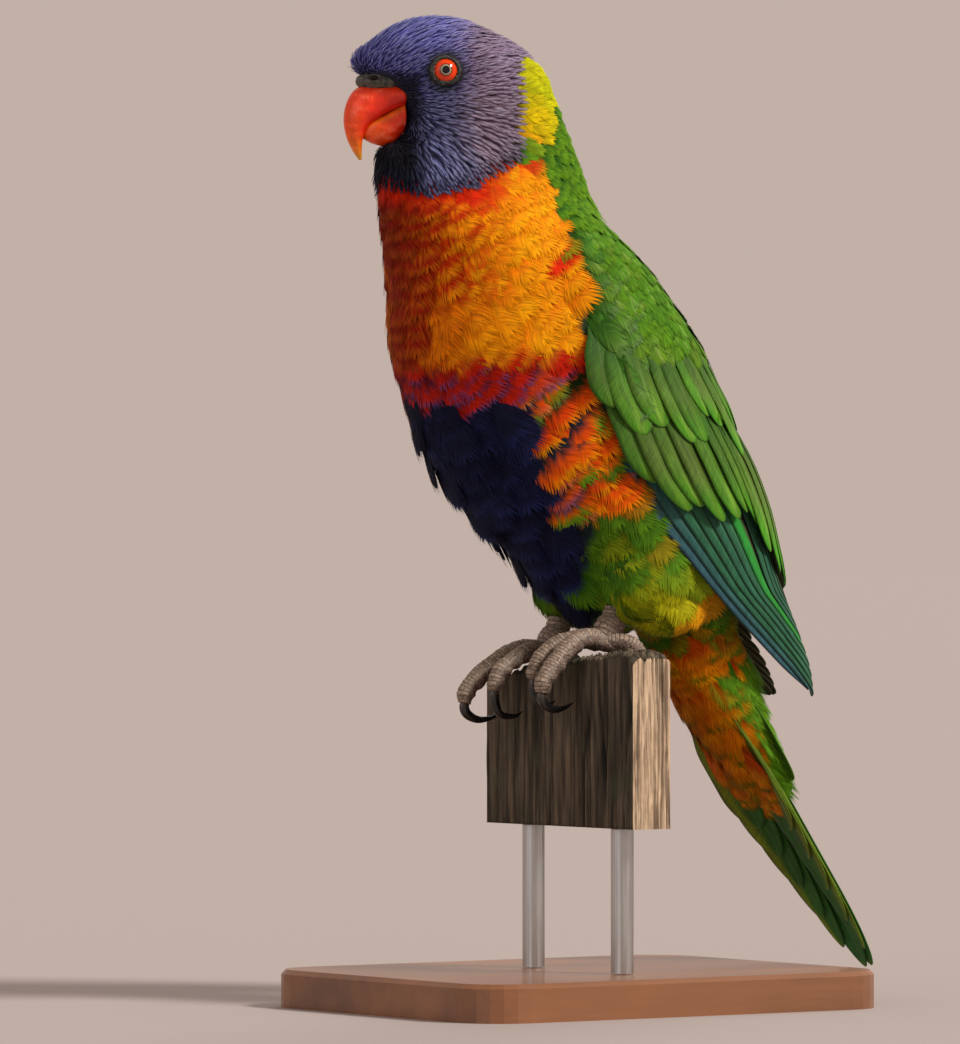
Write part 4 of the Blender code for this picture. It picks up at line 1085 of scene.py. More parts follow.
# The small coverts at the top of the wings
compact = [fringe_template(17, 40 + k, 0.02, 0.97, 0.5, 0.03) for k in range(4)]
lowest = 4.0 + 0.4 * np.sin(s_wing[1] * 23) + 0.5 * smooth(s_wing[1], 0.34, 0.08)
top_of_wing = (s_wing[0] > 0.1) & (s_wing[0] < lowest) & (s_wing[1] > 0.03) & (s_wing[1] < 0.985) & (s_wing[2] > 0.8)
keep = planted(top_of_wing, 2.2 + 1.5 * smooth(s_wing[0], 1.0, 4.6))
g = smooth(s_wing[0][keep], 0.4, 4.8)
covert_coat = Coat()
flock(covert_coat, compact, samples[keep], 8.5 + 8.0 * g + 2 * rng.random(len(keep)),
      2.5 + 2.0 * g + 0.5 * rng.random(len(keep)), 1.1 + 0.55 * g + 1.2 * smooth(s_wing[0][keep], 3.7, 4.4),
      small_covert_tint, -0.3, 0.05, 0.7, 0.08)
covert_coat.piece("small_coverts", SOFT)


# Long feathers

def blade(coat, place, rows, thick, tint, bake_at, columns=7, shaft=-0.2, wave=0.0):
    """A long feather as a closed thin blade. Each row: along, across, half width, height, fall across the half, and
    its share of the full width."""
    count = len(rows)
    q = np.linspace(-1, 1, columns)
    middle, half, high, fall, wide = rows.T[1:, :, None]
    a = np.repeat(rows[:, 0], columns)
    b = (middle + half * q).ravel()
    ridge = 0.16 * np.exp(-((q - shaft) / 0.13) ** 2) + 0.18 * (1 - q * q)
    h = (high - fall * q + ridge * np.minimum(wide, 1)).ravel()
    if wave:
        h = h + wave * np.sin(a * 5.1 + np.tile(q, count) * 2.0)
    r = rng.random()
    top = place(a, b, h)
    shift = count * columns
    grid = np.arange(shift).reshape(count, columns)
    rim = np.concatenate([grid[0], grid[1:, -1], grid[-1, -2::-1], grid[-2:0:-1, 0]])
    after = np.roll(rim, -1)
    quads = grid_faces(count, columns)
    quads = np.concatenate([quads, quads[:, ::-1] + shift, np.stack([rim, rim + shift, after + shift, after], -1)])
    tris = np.concatenate([quads[:, [0, 1, 2]], quads[:, [0, 2, 3]]]).astype(np.int32)
    share = np.tile(np.repeat(np.linspace(0, 1, count), columns), 2)
    across = np.tile(q, 2 * count)
    colours = tint(share, across, r, rng.random())
    spine = top.reshape(count, columns, 3)[:, columns // 2]
    reach = np.concatenate([[0], np.cumsum(np.linalg.norm(np.diff(spine, axis=0), axis=1))])
    run = np.tile(np.repeat(reach, columns), 2)
    vane = np.stack([across * 0.5 + 0.5, run / VANE_LENGTH + r * 9], -1)
    bake = np.array(bake_at)[None] + np.stack([across * 0.0045, (share - 0.5) * 0.05], -1)
    coat.add(np.concatenate([top, place(a, b, h - thick)]), tris, colours, bake, vane)


def profile(count, root, point, sharp=1.0):
    """Shares along a feather and its width there."""
    s = 1 - (1 - np.linspace(0, 1, count)) ** 1.5
    wide = root + (1 - root) * smooth(s, 0, 0.4)
    past = np.clip((s - point) / (1 - point), 0, 1)
    return s, wide * np.maximum((1 - past ** 2) ** (0.5 * sharp), 0.03)


def wing_blade(coat, side, line, first, last, width, heights, pitch, tint, bake_at, point, count, thick, tilt,
               wave=0.0):
    """A blade on the folded wing, from first to last along it. line and pitch give its place across the wing and the
    feathers' distance there, and heights how high it lies."""
    s, wide = profile(count, 0.5, point)
    at = first + (last - first) * s
    half = 0.5 * width * wide
    high = np.interp(at, *zip(*heights)) - (0.5 * width - half) * 0.1
    fall = half * np.minimum(0.34, tilt / (pitch(at) * wing_span(at)))
    rows = np.stack([at, line(at) + 0 * at, half / wing_span(at), high, fall, wide], -1)
    blade(coat, lambda a, b, h: wing_point(side, a, b, h), rows, thick, tint, bake_at, 7, -0.25, wave)


def quill_tint(k):
    """Flight feathers: sea green outer webs, blue near the wing's edge, dark brown inner webs and rear ones, and a
    dark line of painted shade along each outer edge.
    """
    def tint(share, q, r, r2):
        rear = smooth(k, 9.0, 11.0) + (k > 6) * smooth(share, 0.84, 0.95)
        web = mixed(mixed(mixed(STEEL_BLUE, TEAL, 0.35), TEAL, smooth(k, 0.2, 2.0)), tone(40, 96, 50), 0.4 * r)
        if k == 6:
            web = mixed(web, tone(30, 136, 40), 0.85 * smooth(share, 0.86, 0.8))
        web = mixed(web, BROWN * 0.8, np.clip(rear, 0, 1) * (0.55 + 0.4 * r2))
        inner = mixed(mixed(BROWN * 0.8, tone(50, 70, 46), 0.5), BROWN, 0.2 * r2)
        # The near-black line along the outer edge is painted shade between the feathers.
        out = layered(web, (inner, smooth(q, 0.05, 0.3)), (tone(18, 26, 24), smooth(q, -0.8, -0.98) * 0.65))
        return mixed(out, out * 0.55, smooth(share, 0.93, 1.0))
    return tint


def covert_tint(lift, rear, brown=0.0):
    """Wing coverts: green, brighter to the rear, some with a pale streak or tip, the last with brown inner webs. The
    pale streak and tip are painted highlight, and the dark roots and edges are painted shade between the rows.
    """
    def tint(share, q, r, r2):
        streak = smooth(np.abs(q - 0.1), 0.42, 0.05) * smooth(share, 0.5, 0.72) * smooth(share, 0.98, 0.8)
        green = layered(GREEN, (tone(48, 106, 20), (1 - rear) ** 2 * 0.5), (tone(66, 100, 18), 0.3 * r2))
        return layered(
            green * (0.6 + 0.5 * r),
            (BRIGHT * 1.1, smooth(share, 0.4, 0.9) * (0.06 + 0.94 * rear * (0.5 + 0.5 * r2))),
            (tone(96, 104, 48), smooth(share, 0.75, 0.5) * 0.5 * r2),
            (BROWN, smooth(q, 0.0, 0.35) * brown),
            (LEAF, smooth(np.abs(q), 0.7, 0.2) * smooth(share, 0.5, 0.9) * 0.35 * lift),
            # Painted highlight: a pale streak along the shaft.
            (tone(140, 176, 70), streak * (0.08 + 0.32 * (r > 0.45))),
            # Painted shade: the root darkened where the row above lies over it.
            (MOSS * 0.6, smooth(share, 0.5, 0.1)),
            # Painted highlight: a pale tip.
            (tone(150, 168, 110), smooth(share, 0.92, 1.0) * 0.2 * r),
            # Painted shade: the edges darkened where the blades meet.
            (MOSS * 0.7, smooth(np.abs(q), 0.86, 1.0) * 0.3),
        )
    return tint


QUILLS = 13
QUILL_TIPS = (12.75, 13.0, 12.95, 12.6, 12.2, 11.8, 11.4, 11.0, 10.7, 10.5, 10.35, 10.2)


def quill_gap(at, count):
    """How far apart the centres of flight feathers are, as a share of the wing's width."""
    return np.interp(at, [6.0, 10.0, 11.2, 12.2, 13.2], [0.077, 0.073, 0.098, 0.14, 0.175]) * 12 / count


def quill_line(k):
    """Where the k-th flight feather runs across the wing. The rear ones stand off from the rest at their tips."""
    def line(at):
        apart = (k > 6) * np.interp(at, (9.0, 11.0), (0.7, 0.0))
        return 4.4 / wing_span(at) + (k + apart) * quill_gap(at, QUILLS + 0.5)
    return line


def row_line(margin, place, slip=0.0):
    """A feather's line across the wing: margin mm from its front edge, then a share of its width further on."""
    return lambda at: margin / wing_span(at) + place + slip


def covert_row(coat, side, count, margin, step, unsteady, loose, root, tip, width, heights, tint, map_at, point,
               stations, wave):
    """A row of wing coverts, step apart. loose and width are a least value and a spread, tip is that of the first
    feather, how much further each next one reaches, and a spread."""
    for k in range(count):
        slip, more, tilt = unsteady * rng.normal(), rng.random(), loose[0] + loose[1] * rng.random()
        wing_blade(
            coat, side, row_line(margin, step * k, slip), root, tip[0] + tip[1] * k + tip[2] * more,
            width[0] + width[1] * rng.random(), heights, lambda at: step, tint(k), (0.06 + 0.08 * k, map_at), point,
            stations, 0.2, tilt, wave,
        )


def make_wing(name, side):
    """One wing's long feathers: flight feathers, greater coverts, median coverts and tertials."""
    coat = Coat()
    tips = np.interp(np.arange(QUILLS) * 11 / (QUILLS - 1), np.arange(12), QUILL_TIPS)
    heights = ((6.0, -3.9), (7.4, -3.0), (8.4, -2.4), (9.5, -2.0), (11.0, -0.4), (13.0, -0.2))
    for k, tip in enumerate(tips):
        wing_blade(coat, side, quill_line(k), 6.2, tip, 8.8, heights, lambda at: quill_gap(at, QUILLS), quill_tint(k),
                   (0.05 + 0.06 * k, 0.1), 0.86, 24, 0.25, 0.5)
    covert_row(coat, side, 9, 5.0, 0.083, 0.016, (0.3, 0.7), 4.6, (7.1, 0.14, 0.8), (8.6, 1.6),
               ((4.6, -2.0), (6.0, -0.6), (7.2, -0.1), (8.8, 0.2)), lambda k: covert_tint(1.0, k / 11, 0.6 * (k > 6)),
               0.34, 0.74, 18, 0.05)
    covert_row(coat, side, 10, 3.2, 0.088, 0.018, (0.12, 0.4), 3.5, (5.0, 0.1, 1.1), (9.8, 1.8),
               ((3.5, -2.0), (4.6, -0.3), (5.4, 0.4), (6.4, 0.5)), lambda k: covert_tint(0.8, k / 12),
               0.44, 0.62, 16, 0.06)
    for k, (tip, width) in enumerate(((9.0, 11.0), (9.5, 11.0), (9.8, 12.0), (9.9, 16.0))):
        wing_blade(coat, side, row_line(0.0, 0.62 + 0.105 * k), 4.9, tip, width,
                   ((4.9, -1.6), (6.2, -0.2), (8.0, 0.35), (9.9, 0.3)), lambda at: 0.105, covert_tint(0.7, 0.9, 0.7),
                   (0.1 + 0.1 * k, 0.22), 0.8, 18, 0.25, 0.5)
    made = coat.piece(name, SLEEK)
    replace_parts(made, name)


def tail_quill_tint(pair):
    """Tail feathers: green, with yellower inner webs on all but the middle pair, and edges darkened as painted shade
    between them.
    """
    def tint(share, q, r, r2):
        return layered(
            mixed(tone(36, 92, 26), tone(44, 112, 30), 0.6 * r),
            (tone(150, 160, 20), smooth(q, 0.1, 0.8) * 0.55 * (pair > 0)),
            (tone(110, 132, 22), smooth(share, 0.9, 1.0) * 0.6),
            # Painted shade: the edges darkened where the feathers meet.
            (MOSS * 0.5, smooth(np.abs(q), 0.86, 1.0) * 0.5),
        )
    return tint


def tail_cover_tint(share, q, r, r2):
    """The long feathers over the tail's root."""
    return mixed(GREEN * 0.9, LEAF, smooth(share, 0.5, 1) * 0.5)


def arched(a, b, h):
    """A point of the tail, which falls off to its sides."""
    return tail_point(a, b, h - 1.6 * (b / 12.0) ** 2)


TAIL_START = 30.0
# How much shorter each pair is than the middle one, and how far out its feathers reach
TAIL_PAIRS = ((0.0, 6.4), (7.0, 8.6), (17.0, 10.2), (28.0, 11.6), (39.0, 12.8), (49.0, 13.8))


def make_tail():
    """Six pairs of tail feathers and the row of long feathers over their roots."""
    coat = Coat()
    s, wide = profile(26, 0.5, 0.7, 1.25)
    for pair, (shorter, outer) in enumerate(TAIL_PAIRS):
        for side in (1, -1):
            level = 0.5 - 0.82 * (pair + 1 if pair else (1 - side) / 2)
            inner = 0.3 if pair else -4.6
            distance = TAIL_START + (TAIL_LENGTH - shorter - TAIL_START) * s
            half = side * 0.5 * (outer - inner) * wide
            rows = np.stack([distance, 0 * s + side * 0.5 * (outer + inner), half, 0 * s + level, 0 * s, wide], -1)
            bake_at = (0.1 + 0.12 * pair + 0.05 * (side > 0), 0.3)
            blade(coat, arched, rows, 0.35, tail_quill_tint(pair), bake_at, 9, -0.1)
    s, wide = profile(14, 0.5, 0.6)
    for k in range(7):
        out = k - 3
        rows = np.stack([TAIL_START + (32 - 1.6 * abs(out)) * s, 0 * s + out * 3.1, 3.7 * wide,
                         0 * s + 3.1 + (k % 2) * 0.7, 0 * s, wide], -1)
        blade(coat, arched, rows, 0.25, tail_cover_tint, (0.1 + 0.1 * k, 0.6), 7, 0.0)
    made = coat.piece("tail_quills", SLEEK)
    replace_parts(made, "tail")


make_wing("wing_left", 1)
make_wing("wing_right", -1)
make_tail()

# The skin itself, in the colours of the feathers over it, darkened as painted shade beneath them


def tinted_skin(tint, v, u):
    """The skin's colours from a tint, at one place of its feathers."""
    v, u, r = (np.full(len(skin_co), value) for value in (v, u, 0.4))
    return tint(skin_co, skin_co, v, u, r, r)


at_tail = tail_side(skin_co)[0] > 14
shade = np.where(at_tail[:, None], tinted_skin(tail_tint, 0.75, 0), tinted_skin(plumage, 0.85, 0.5))
at, across, out = wing_place(skin_co)
under_wing = (at > 0.25) & (across > 0) & (across < 1) & (out > 0.8) & (skin_co[:, 2] < 117)
# Painted shade: the skin under the wing is dark moss.
shade = np.where(under_wing[:, None], MOSS * 0.5, shade)
# Painted shade: the skin's colours are darkened to 0.55 beneath the feathers.
skin = mesh_piece("skin", skin_co, skin_quads, SKIN, shade * 0.55)
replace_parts(skin, "head", "neck", "torso", "thigh_left", "thigh_right")

# The bill, the cere and the nostrils

HORN = surface_material("bill_horn", 0.34, 700.0, 0.86, 1.1, 0.15, 0.0002, (1, 1, 0.35), 4.0, coat=0.12, specular=0.35)
CERE = surface_material("bare_skin", 0.6, 1500.0, 0.8, 1.2, 0.5, 0.0003)


def noisy(points, octaves, fall=0.8, step=2.2):
    """Fractal noise at each point, from about -1 to 1."""
    return np.array([noise.fractal(Vector(p), fall, step, octaves) for p in points])


def bill_rings(rows, count, sides, tint):
    """Rings of one half of the bill, from its root to its tip, and their colours."""
    rings, colours = [], []
    c, s = np.cos(circle(sides)), np.sin(circle(sides))
    square = np.where(c < 0, np.sign(s) * np.abs(s) ** (1 + 0.5 * c), s)
    for t in np.arange(count) / (count - 1):
        row = spline(rows, (len(rows) - 1) * t)
        outer, inner, half = row[0:2], row[2:4], row[4]
        middle, reach = (outer + inner) / 2, (outer - inner) / 2
        forward, up = middle[:, None] + reach[:, None] * c
        rings.append(head_point(forward, half * square * (1 - 0.16 * c), up))
        wear = noisy(rings[-1] * (0.25, 0.25, 0.9), 4)
        pale = mixed(tint(t, c), tone(232, 128, 92), np.clip(wear - 0.12, 0, 0.5) * smooth(c, -0.4, 0.4) * 0.8)
        colours.append(times(pale, 1 + 0.22 * wear))
    return rings, colours


def upper_tint(t, c):
    """The upper bill: t runs from its root to its tip, c from its lower edge to its ridge."""
    return layered(
        mixed(tone(218, 32, 12), tone(236, 56, 14), smooth(c, -0.9, 0.6)),
        (tone(240, 76, 8), smooth(t, 0.3, 0.66) * smooth(c, -1, 0.5)), (tone(232, 118, 8), smooth(t, 0.62, 0.9)),
        # The dark along the lower edge is painted shade of the gape.
        (tone(214, 156, 36), smooth(t, 0.86, 1.0)), (tone(70, 10, 8), smooth(c, -0.90, -1.0) * 0.8),
    )


def lower_tint(t, c):
    """The lower bill, in the same way."""
    return layered(
        mixed(tone(224, 40, 6), tone(238, 82, 6), smooth(t, 0.1, 0.75)),
        # The dark along the top edge is painted shade of the gape.
        (tone(236, 120, 12), smooth(c, -0.35, -0.75) * 0.5), (tone(60, 12, 8), smooth(c, -0.86, -0.93) * 0.8),
    )


rings, colours = bill_rings(UPPER_BILL, 56, 48, upper_tint)
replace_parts(swept("bill_top", rings, HORN, colours), "bill_upper")
rings, colours = bill_rings(LOWER_BILL, 40, 40, lower_tint)
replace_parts(swept("bill_bottom", rings, HORN, colours), "bill_lower")

CERE_MIDDLE = head_point(17.6, 0.0, 151.0)
rings, colours = [], []
for ring in round_shape(CERE_MIDDLE, (7.2, 5.75, 3.1), (AHEAD, LEFT, UP), 60, 96):
    f, s, u = in_head(ring)
    hole = np.hypot(np.hypot((f - 21.3) / 1.2, (u - 151.7) / 0.72), (np.abs(s) - 4.6) / 3.0)
    rough = noisy(ring * 0.9, 4, step=2.1)
    sink = 1.2 * smooth(hole, 1.15, 0.5) - 0.2 * np.exp(-((hole - 1.5) / 0.4) ** 2) - 0.16 * rough
    rings.append(ring - times(unit(ring - CERE_MIDDLE), sink))
    colours.append(layered(
        mixed(tone(42, 44, 40), tone(92, 90, 78), np.clip(0.5 + 0.9 * rough, 0, 1)),
        # The nostril pits are darkened: painted shade in the holes.
        (tone(40, 36, 36), smooth(f, 17.0, 14.0)), (tone(36, 12, 8), smooth(hole, 1.2, 0.7)),
    ))
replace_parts(swept("cere_skin", rings, CERE, colours), "cere")

# The eyes and their lids

EYE = surface_material("eye_gloss", 0.12, 2500.0, 0.93, 1.06, 0.0, 0.0001, coat=0.3, specular=0.25)
LID = surface_material("lid_skin", 0.7, 2600.0, 0.75, 1.2, 0.5, 0.0002, specular=0.25)
LID_ROWS = 34
TURN = circle(96)


def eye_ball(middle, ways, out):
    """Rings of an eyeball with its domed cornea: pupil, grey ring, orange iris and dark rim."""
    rings, colours = [], []
    streak = 0.5 + 0.25 * np.sin(TURN * 23 + 3 * np.sin(TURN * 5)) + 0.25 * np.sin(TURN * 41 + 2)
    orange = mixed(tone(230, 66, 2), tone(196, 34, 0), streak * 0.8)
    grey = mixed(tone(172, 160, 124), tone(124, 120, 104), streak)
    for polar in np.radians(np.concatenate([np.linspace(0.4, 58, 80), np.linspace(62, 178, 24)])):
        radius = EYE_RADIUS * math.sin(polar)
        bulge = EYE_RADIUS * math.cos(polar) + 0.22 * math.exp(-(radius / 1.9) ** 2 * 1.2) * (polar < 1.2)
        rings.append(middle + ways * radius + out * bulge)
        colours.append(layered(
            tone(5, 6, 16), (grey, smooth(radius, 0.98, 1.08)),
            (tone(92, 26, 4), smooth(radius + 0.06 * streak, 1.36, 1.48)),
            (tone(30, 20, 20) if polar > 1.4 else orange, smooth(radius + 0.12 * streak, 1.60, 1.88)),
            (tone(110, 14, 6), smooth(radius, 2.78, 3.02)), (tone(24, 14, 14), smooth(radius, 2.98, 3.12)),
        ))
    return rings, colours


def lid_rings(middle, ways, out, side):
    """Rings of beaded bare skin from the eye's edge outward."""
    rings, colours = [], []
    for t in np.linspace(0, 1, LID_ROWS):
        radius = 2.94 + 1.6 * t
        height = 2.72 + 0.50 * math.sin(min(t * 2.6, 1) * math.pi * 0.5) - 1.7 * max(t - 0.35, 0) ** 1.2
        grain = noisy(ways * radius * 2.2 + side * 9, 3, 0.7)
        bead = 0.20 * grain + 0.10 * math.sin(t * 24) * (0.6 + 0.4 * grain)
        slit = 1 - 0.05 * np.abs(np.sin(TURN)) + 0.03 * grain * t
        rings.append(middle + times(ways, radius * slit) + times(out, height + bead))
        colours.append(layered(
            tone(28, 30, 34), (tone(84, 86, 76), smooth(bead, -0.12, 0.16) * (1 - 0.3 * t)),
            (tone(18, 18, 26), smooth(t, 0.6, 0.95)),
        ))
    return rings, colours


for side, word in ((1, "left"), (-1, "right")):
    out = unit(LEFT * side + AHEAD * 0.22 + UP * 0.06)
    across = unit(np.cross(UP, out))
    middle = head_point(EYE_PLACE[0], side * EYE_PLACE[1], EYE_PLACE[2])
    ways = times(across, np.cos(TURN)) + times(np.cross(out, across), np.sin(TURN))
    rings, colours = eye_ball(middle, ways, out)
    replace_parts(swept("eye_ball_" + word, rings, EYE, colours), "eye_" + word)
    rings, colours = lid_rings(middle, ways, out, side)
    faces = grid_faces(LID_ROWS, len(TURN), True)
    lids = mesh_piece("lids_" + word, np.concatenate(rings), faces, LID, np.concatenate(colours))
    if side < 0:
        lids.data.flip_normals()

# The feet

TOES = {
    "outer_front": (((0.2, -1.0, 4.4), (1.2, -7.2, 5.2), (2.0, -12.8, 2.9), (2.6, -17.4, -1.2), (3.0, -21.4, -5.6),
                     (3.0, -22.2, -9.0)), 2.6),
    "inner_front": (((-0.4, -1.0, 4.2), (-2.6, -6.4, 5.2), (-4.4, -12.2, 3.4), (-5.2, -16.4, 0.2), (-5.4, -18.6, -3.4),
                     (-5.4, -18.8, -5.6)), 2.3),
    "outer_hind": (((0.5, -1.0, 3.8), (4.0, 3.4, 4.2), (5.6, 7.0, 1.6), (6.0, 8.2, -3.4), (6.0, 7.8, -7.4)), 2.3),
    "inner_hind": (((-0.5, -1.0, 3.8), (-2.6, 3.2, 4.2), (-3.6, 6.4, 1.4), (-3.8, 7.2, -2.6)), 2.0),
}
# Each claw runs in one upright plane: how far out that is, then the claw's points in it
CLAWS = {
    "outer_front": (3.0, ((-22.2, -10.4), (-21.0, -12.2), (-18.2, -13.4), (-15.0, -13.0), (-12.0, -11.6))),
    "inner_front": (-5.4, ((-18.8, -7.2), (-18.4, -9.6), (-16.8, -12.0), (-13.8, -12.4), (-12.0, -11.2))),
    "outer_hind": (6.0, ((7.6, -9.0), (7.0, -11.6), (5.0, -13.6), (3.3, -14.0), (2.6, -13.4))),
    "inner_hind": (-3.8, ((7.1, -4.2), (6.7, -6.6), (5.0, -8.6), (3.4, -9.2), (2.6, -8.7))),
}
SHANK = ((0.0, 3.6, 13.5), (0.0, 2.8, 9.6), (0.0, 0.6, 6.6), (0.0, -1.2, 3.5))
SHANK_RADII = (2.6, 3.1, 3.7, 3.7, 3.2, 2.3)
TOE_SHAPE = (1.05, 1.0, 0.92, 1.0, 0.9, 0.97, 0.86, 0.88, 0.62)
CLAW_RADII = (1.1, 1.42, 1.40, 1.26, 1.02, 0.78, 0.5, 0.12)
FOOT_PLACES = {"left": (12.5, -0.4, 0.3), "right": (-12.5, -0.8, -2.9)}
FRONT_REACH = {"left": 1.0, "right": 1.12}

SCALES = surface_material("foot_scales", 0.55, 1400.0, 0.72, 1.25, 0.6, 0.0003)
CLAW = surface_material("claw_horn", 0.28, 900.0, 0.7, 1.4, 0.1, 0.0002, coat=0.2)


def foot_point(which, point):
    """A point of one foot, mirrored for the right one, whose front toes reach further."""
    x, y, z = point
    reach = 1 + (FRONT_REACH[which] - 1) * min(max((-y - 12.0) / 4.0, 0.0), 1.0)
    return np.array(FOOT_PLACES[which]) + np.array([x if which == "left" else -x, y * reach, z])


def tube_rings(path, radii, sides, flatten=1.0):
    """Rings along a path that stays in one upright plane, or nearly."""
    rings = []
    angle = circle(sides)
    for i, middle in enumerate(path):
        way = unit(path[min(i + 1, len(path) - 1)] - path[max(i - 1, 0)])
        side = unit(np.cross(way, (1.0, 0.0, 0.0)))
        top = np.cross(side, way)
        rings.append(middle + radii[i] * (times(side, np.cos(angle)) + times(top * flatten, np.sin(angle))))
    return rings


def scaly_tube(name, points, radii, pitch):
    """A toe or shank: cross rows of scutes along its upper side, beads on the rest. The raised scutes and beads are
    painted paler and the grooves darker, partly as painted light and shade, and the underside is darkened as painted
    shade.
    """
    ts = np.linspace(0, 1, 190)
    path = spline(points, (len(points) - 1) * ts)
    base = np.interp(ts, np.linspace(0, 1, len(radii)), radii)
    run = np.concatenate([[0], np.cumsum(np.linalg.norm(np.diff(path, axis=0), axis=1))])
    angle = circle(64)
    outer, colours = [], []
    for i, ring in enumerate(tube_rings(path, base, len(angle))):
        phase = run[i] / pitch
        row = math.floor(phase)
        above = np.clip((ring - path[i]) @ np.array([0.0, -0.35, 0.94]) / base[i], -1, 1)
        scute = smooth(above, -0.15, 0.45)
        wear = 0.5 + 0.5 * math.sin(row * 2.4)
        rough = noisy(ring * 0.8, 3)
        half = smooth(np.abs(np.sin(angle * 5.5 + row * 1.3)), 0.0, 0.3)
        plate = (1 - smooth(np.abs(2 * (phase - row) - 1) + 0.25 * rough, 0.66, 1.0)) * (0.7 + 0.3 * wear) * half
        beads = 1.7 * phase
        bead = 0.5 + 0.5 * np.sin(angle * 11 + (math.floor(beads) % 2) * math.pi) * np.sin(beads * FULL_TURN)
        lift = scute * 0.22 * plate + (1 - scute) * 0.16 * bead
        lift = lift + 0.45 * math.sin(run[i] * math.pi / 4.2) ** 2 * smooth(above, 0.1, -0.6)
        outer.append(path[i] + times(ring - path[i], 1 + (lift + 0.16 * rough - 0.12) / base[i]))
        high = np.clip(scute * plate + (1 - scute) * bead + 0.5 * rough, 0, 1.2)
        # Paler on the raised scutes and beads, darker in the grooves: partly painted light and shade.
        tint = mixed(tone(64, 54, 46), mixed(tone(122, 100, 86), tone(148, 128, 110), scute), high)
        # Painted shade: the underside darkened.
        colours.append(mixed(tint, tint * 0.6, smooth(above, -0.1, -0.9) * 0.6))
    return swept(name, outer, SCALES, colours)


def make_claw(name, path, sides=20, count=26):
    """A claw, brown at its root and dark to its tip."""
    ts = np.linspace(0, 1, count)
    radii = np.interp(ts, np.linspace(0, 1, len(CLAW_RADII)), CLAW_RADII)
    rings = tube_rings(spline(path, np.linspace(0, len(path) - 1, count)), radii, sides, 0.8)
    tints = [mixed(tone(58, 48, 42), tone(14, 13, 14), smooth(np.full(sides, t), 0.0, 0.35)) for t in ts]
    return swept(name, rings, CLAW, tints)


for which in ("left", "right"):
    shank = scaly_tube(f"shank_{which}", [foot_point(which, p) for p in SHANK], SHANK_RADII, 1.15)
    for toe, (points, radius) in TOES.items():
        path = [foot_point(which, p) for p in points]
        scaly_tube(f"toe_{which}_{toe}", path, [radius * share for share in TOE_SHAPE], 0.92)
        x, claw = CLAWS[toe]
        claw = [path[-1] * 0.7 + path[-2] * 0.3, *(foot_point(which, (x, y, z)) for y, z in claw)]
        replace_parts(make_claw(f"nail_{which}_{toe}", claw), f"claw_{which}_{toe}")
    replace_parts(shank, "foot_" + which)

# The perch

WOOD = surface_material("weathered_board", 0.88, 420.0, 0.5, 1.55, 1.0, 0.0008, (3.2, 3.2, 0.16), 8.0, specular=0.25)
FACE_POINTS, TOP_POINTS = 46, 24


def board():
    """A cut length of old board with open grain, its top worn ragged: its outlines, and a colour for each point. The
    front face is darker, partly weathering and partly painted shade, and the splits are darkened as painted shade.
    """
    rows = []
    xs = np.linspace(BOARD_TOP[0, 0], BOARD_TOP[-1, 0], 150)
    for x, top in zip(xs, np.interp(xs, *BOARD_TOP.T)):
        chip = 1.1 * noise.noise(Vector((x * 0.4, 3.0, 0))) - 2.2 * max(noise.noise(Vector((x * 1.3, 8.0, 0))), -0.2)
        top = top + chip - 0.35
        zs = top - 1.2 + (-BOARD_DROP - top + 1.2) * np.linspace(0, 1, FACE_POINTS) ** 1.15
        section = [(BOARD_FRONT, z) for z in zs[::-1]]
        section += [(BOARD_FRONT + 0.5, top - 0.4), (BOARD_FRONT + 1.8, top)]
        for k in range(1, TOP_POINTS):
            y = BOARD_FRONT + 1.8 + (BOARD_BACK - BOARD_FRONT - 3.6) * k / TOP_POINTS
            section.append((y, top + 1.3 * noise.fractal(Vector((x * 0.25, y * 0.8, 6.0)), 0.8, 2.1, 4)))
        section += [(BOARD_BACK - 1.8, top), (BOARD_BACK - 0.5, top - 0.4)]
        section += [(BOARD_BACK, z) for z in zs]
        rows.append([(x, y, z) for y, z in section])
    rows = np.array([rows[0], *rows, rows[-1]])
    out, tint = np.zeros_like(rows), np.zeros_like(rows)
    for place in product(range(rows.shape[0]), range(rows.shape[1])):
        x, y, z = rows[place]
        groove = noise.fractal(Vector((x * 0.5, y * 0.5, z * 0.035)), 0.8, 2.1, 4)
        fine = noise.noise(Vector((x * 2.6, y * 2.6, z * 0.10)))
        crack = max(0.0, 1 - abs(noise.noise(Vector((x * 0.16, y * 0.3 + 5, z * 0.008)))) * 16)
        depth = 0.35 * groove + 0.22 * fine - 1.1 * crack * (0.4 + 0.6 * (z > -30))
        face = int(y > BOARD_BACK - 0.1) - int(y < BOARD_FRONT + 0.1)
        out[place] = (0.0, face * depth, 0.0 if face else depth * 0.8)
        aged_and_shaded = mixed(tone(52, 46, 38), tone(112, 98, 80), np.clip(0.5 + 0.8 * groove + 0.3 * fine, 0, 1))
        # The front face darkened to 0.75 and the back to 0.95: partly weathering, partly painted shade.
        aged_and_shaded = aged_and_shaded * (0.75, 1.0, 0.95)[face + 1]
        moss = max(0.0, noise.noise(Vector((x * 0.11, z * 0.11, 4.0))) * 1.5 - 0.3)
        # Splits darkened: painted shade in them.
        tint[place] = mixed(aged_and_shaded, tone(66, 70, 48), min(moss, 0.5)) * (1 - 0.75 * crack)
    return rows + out, tint


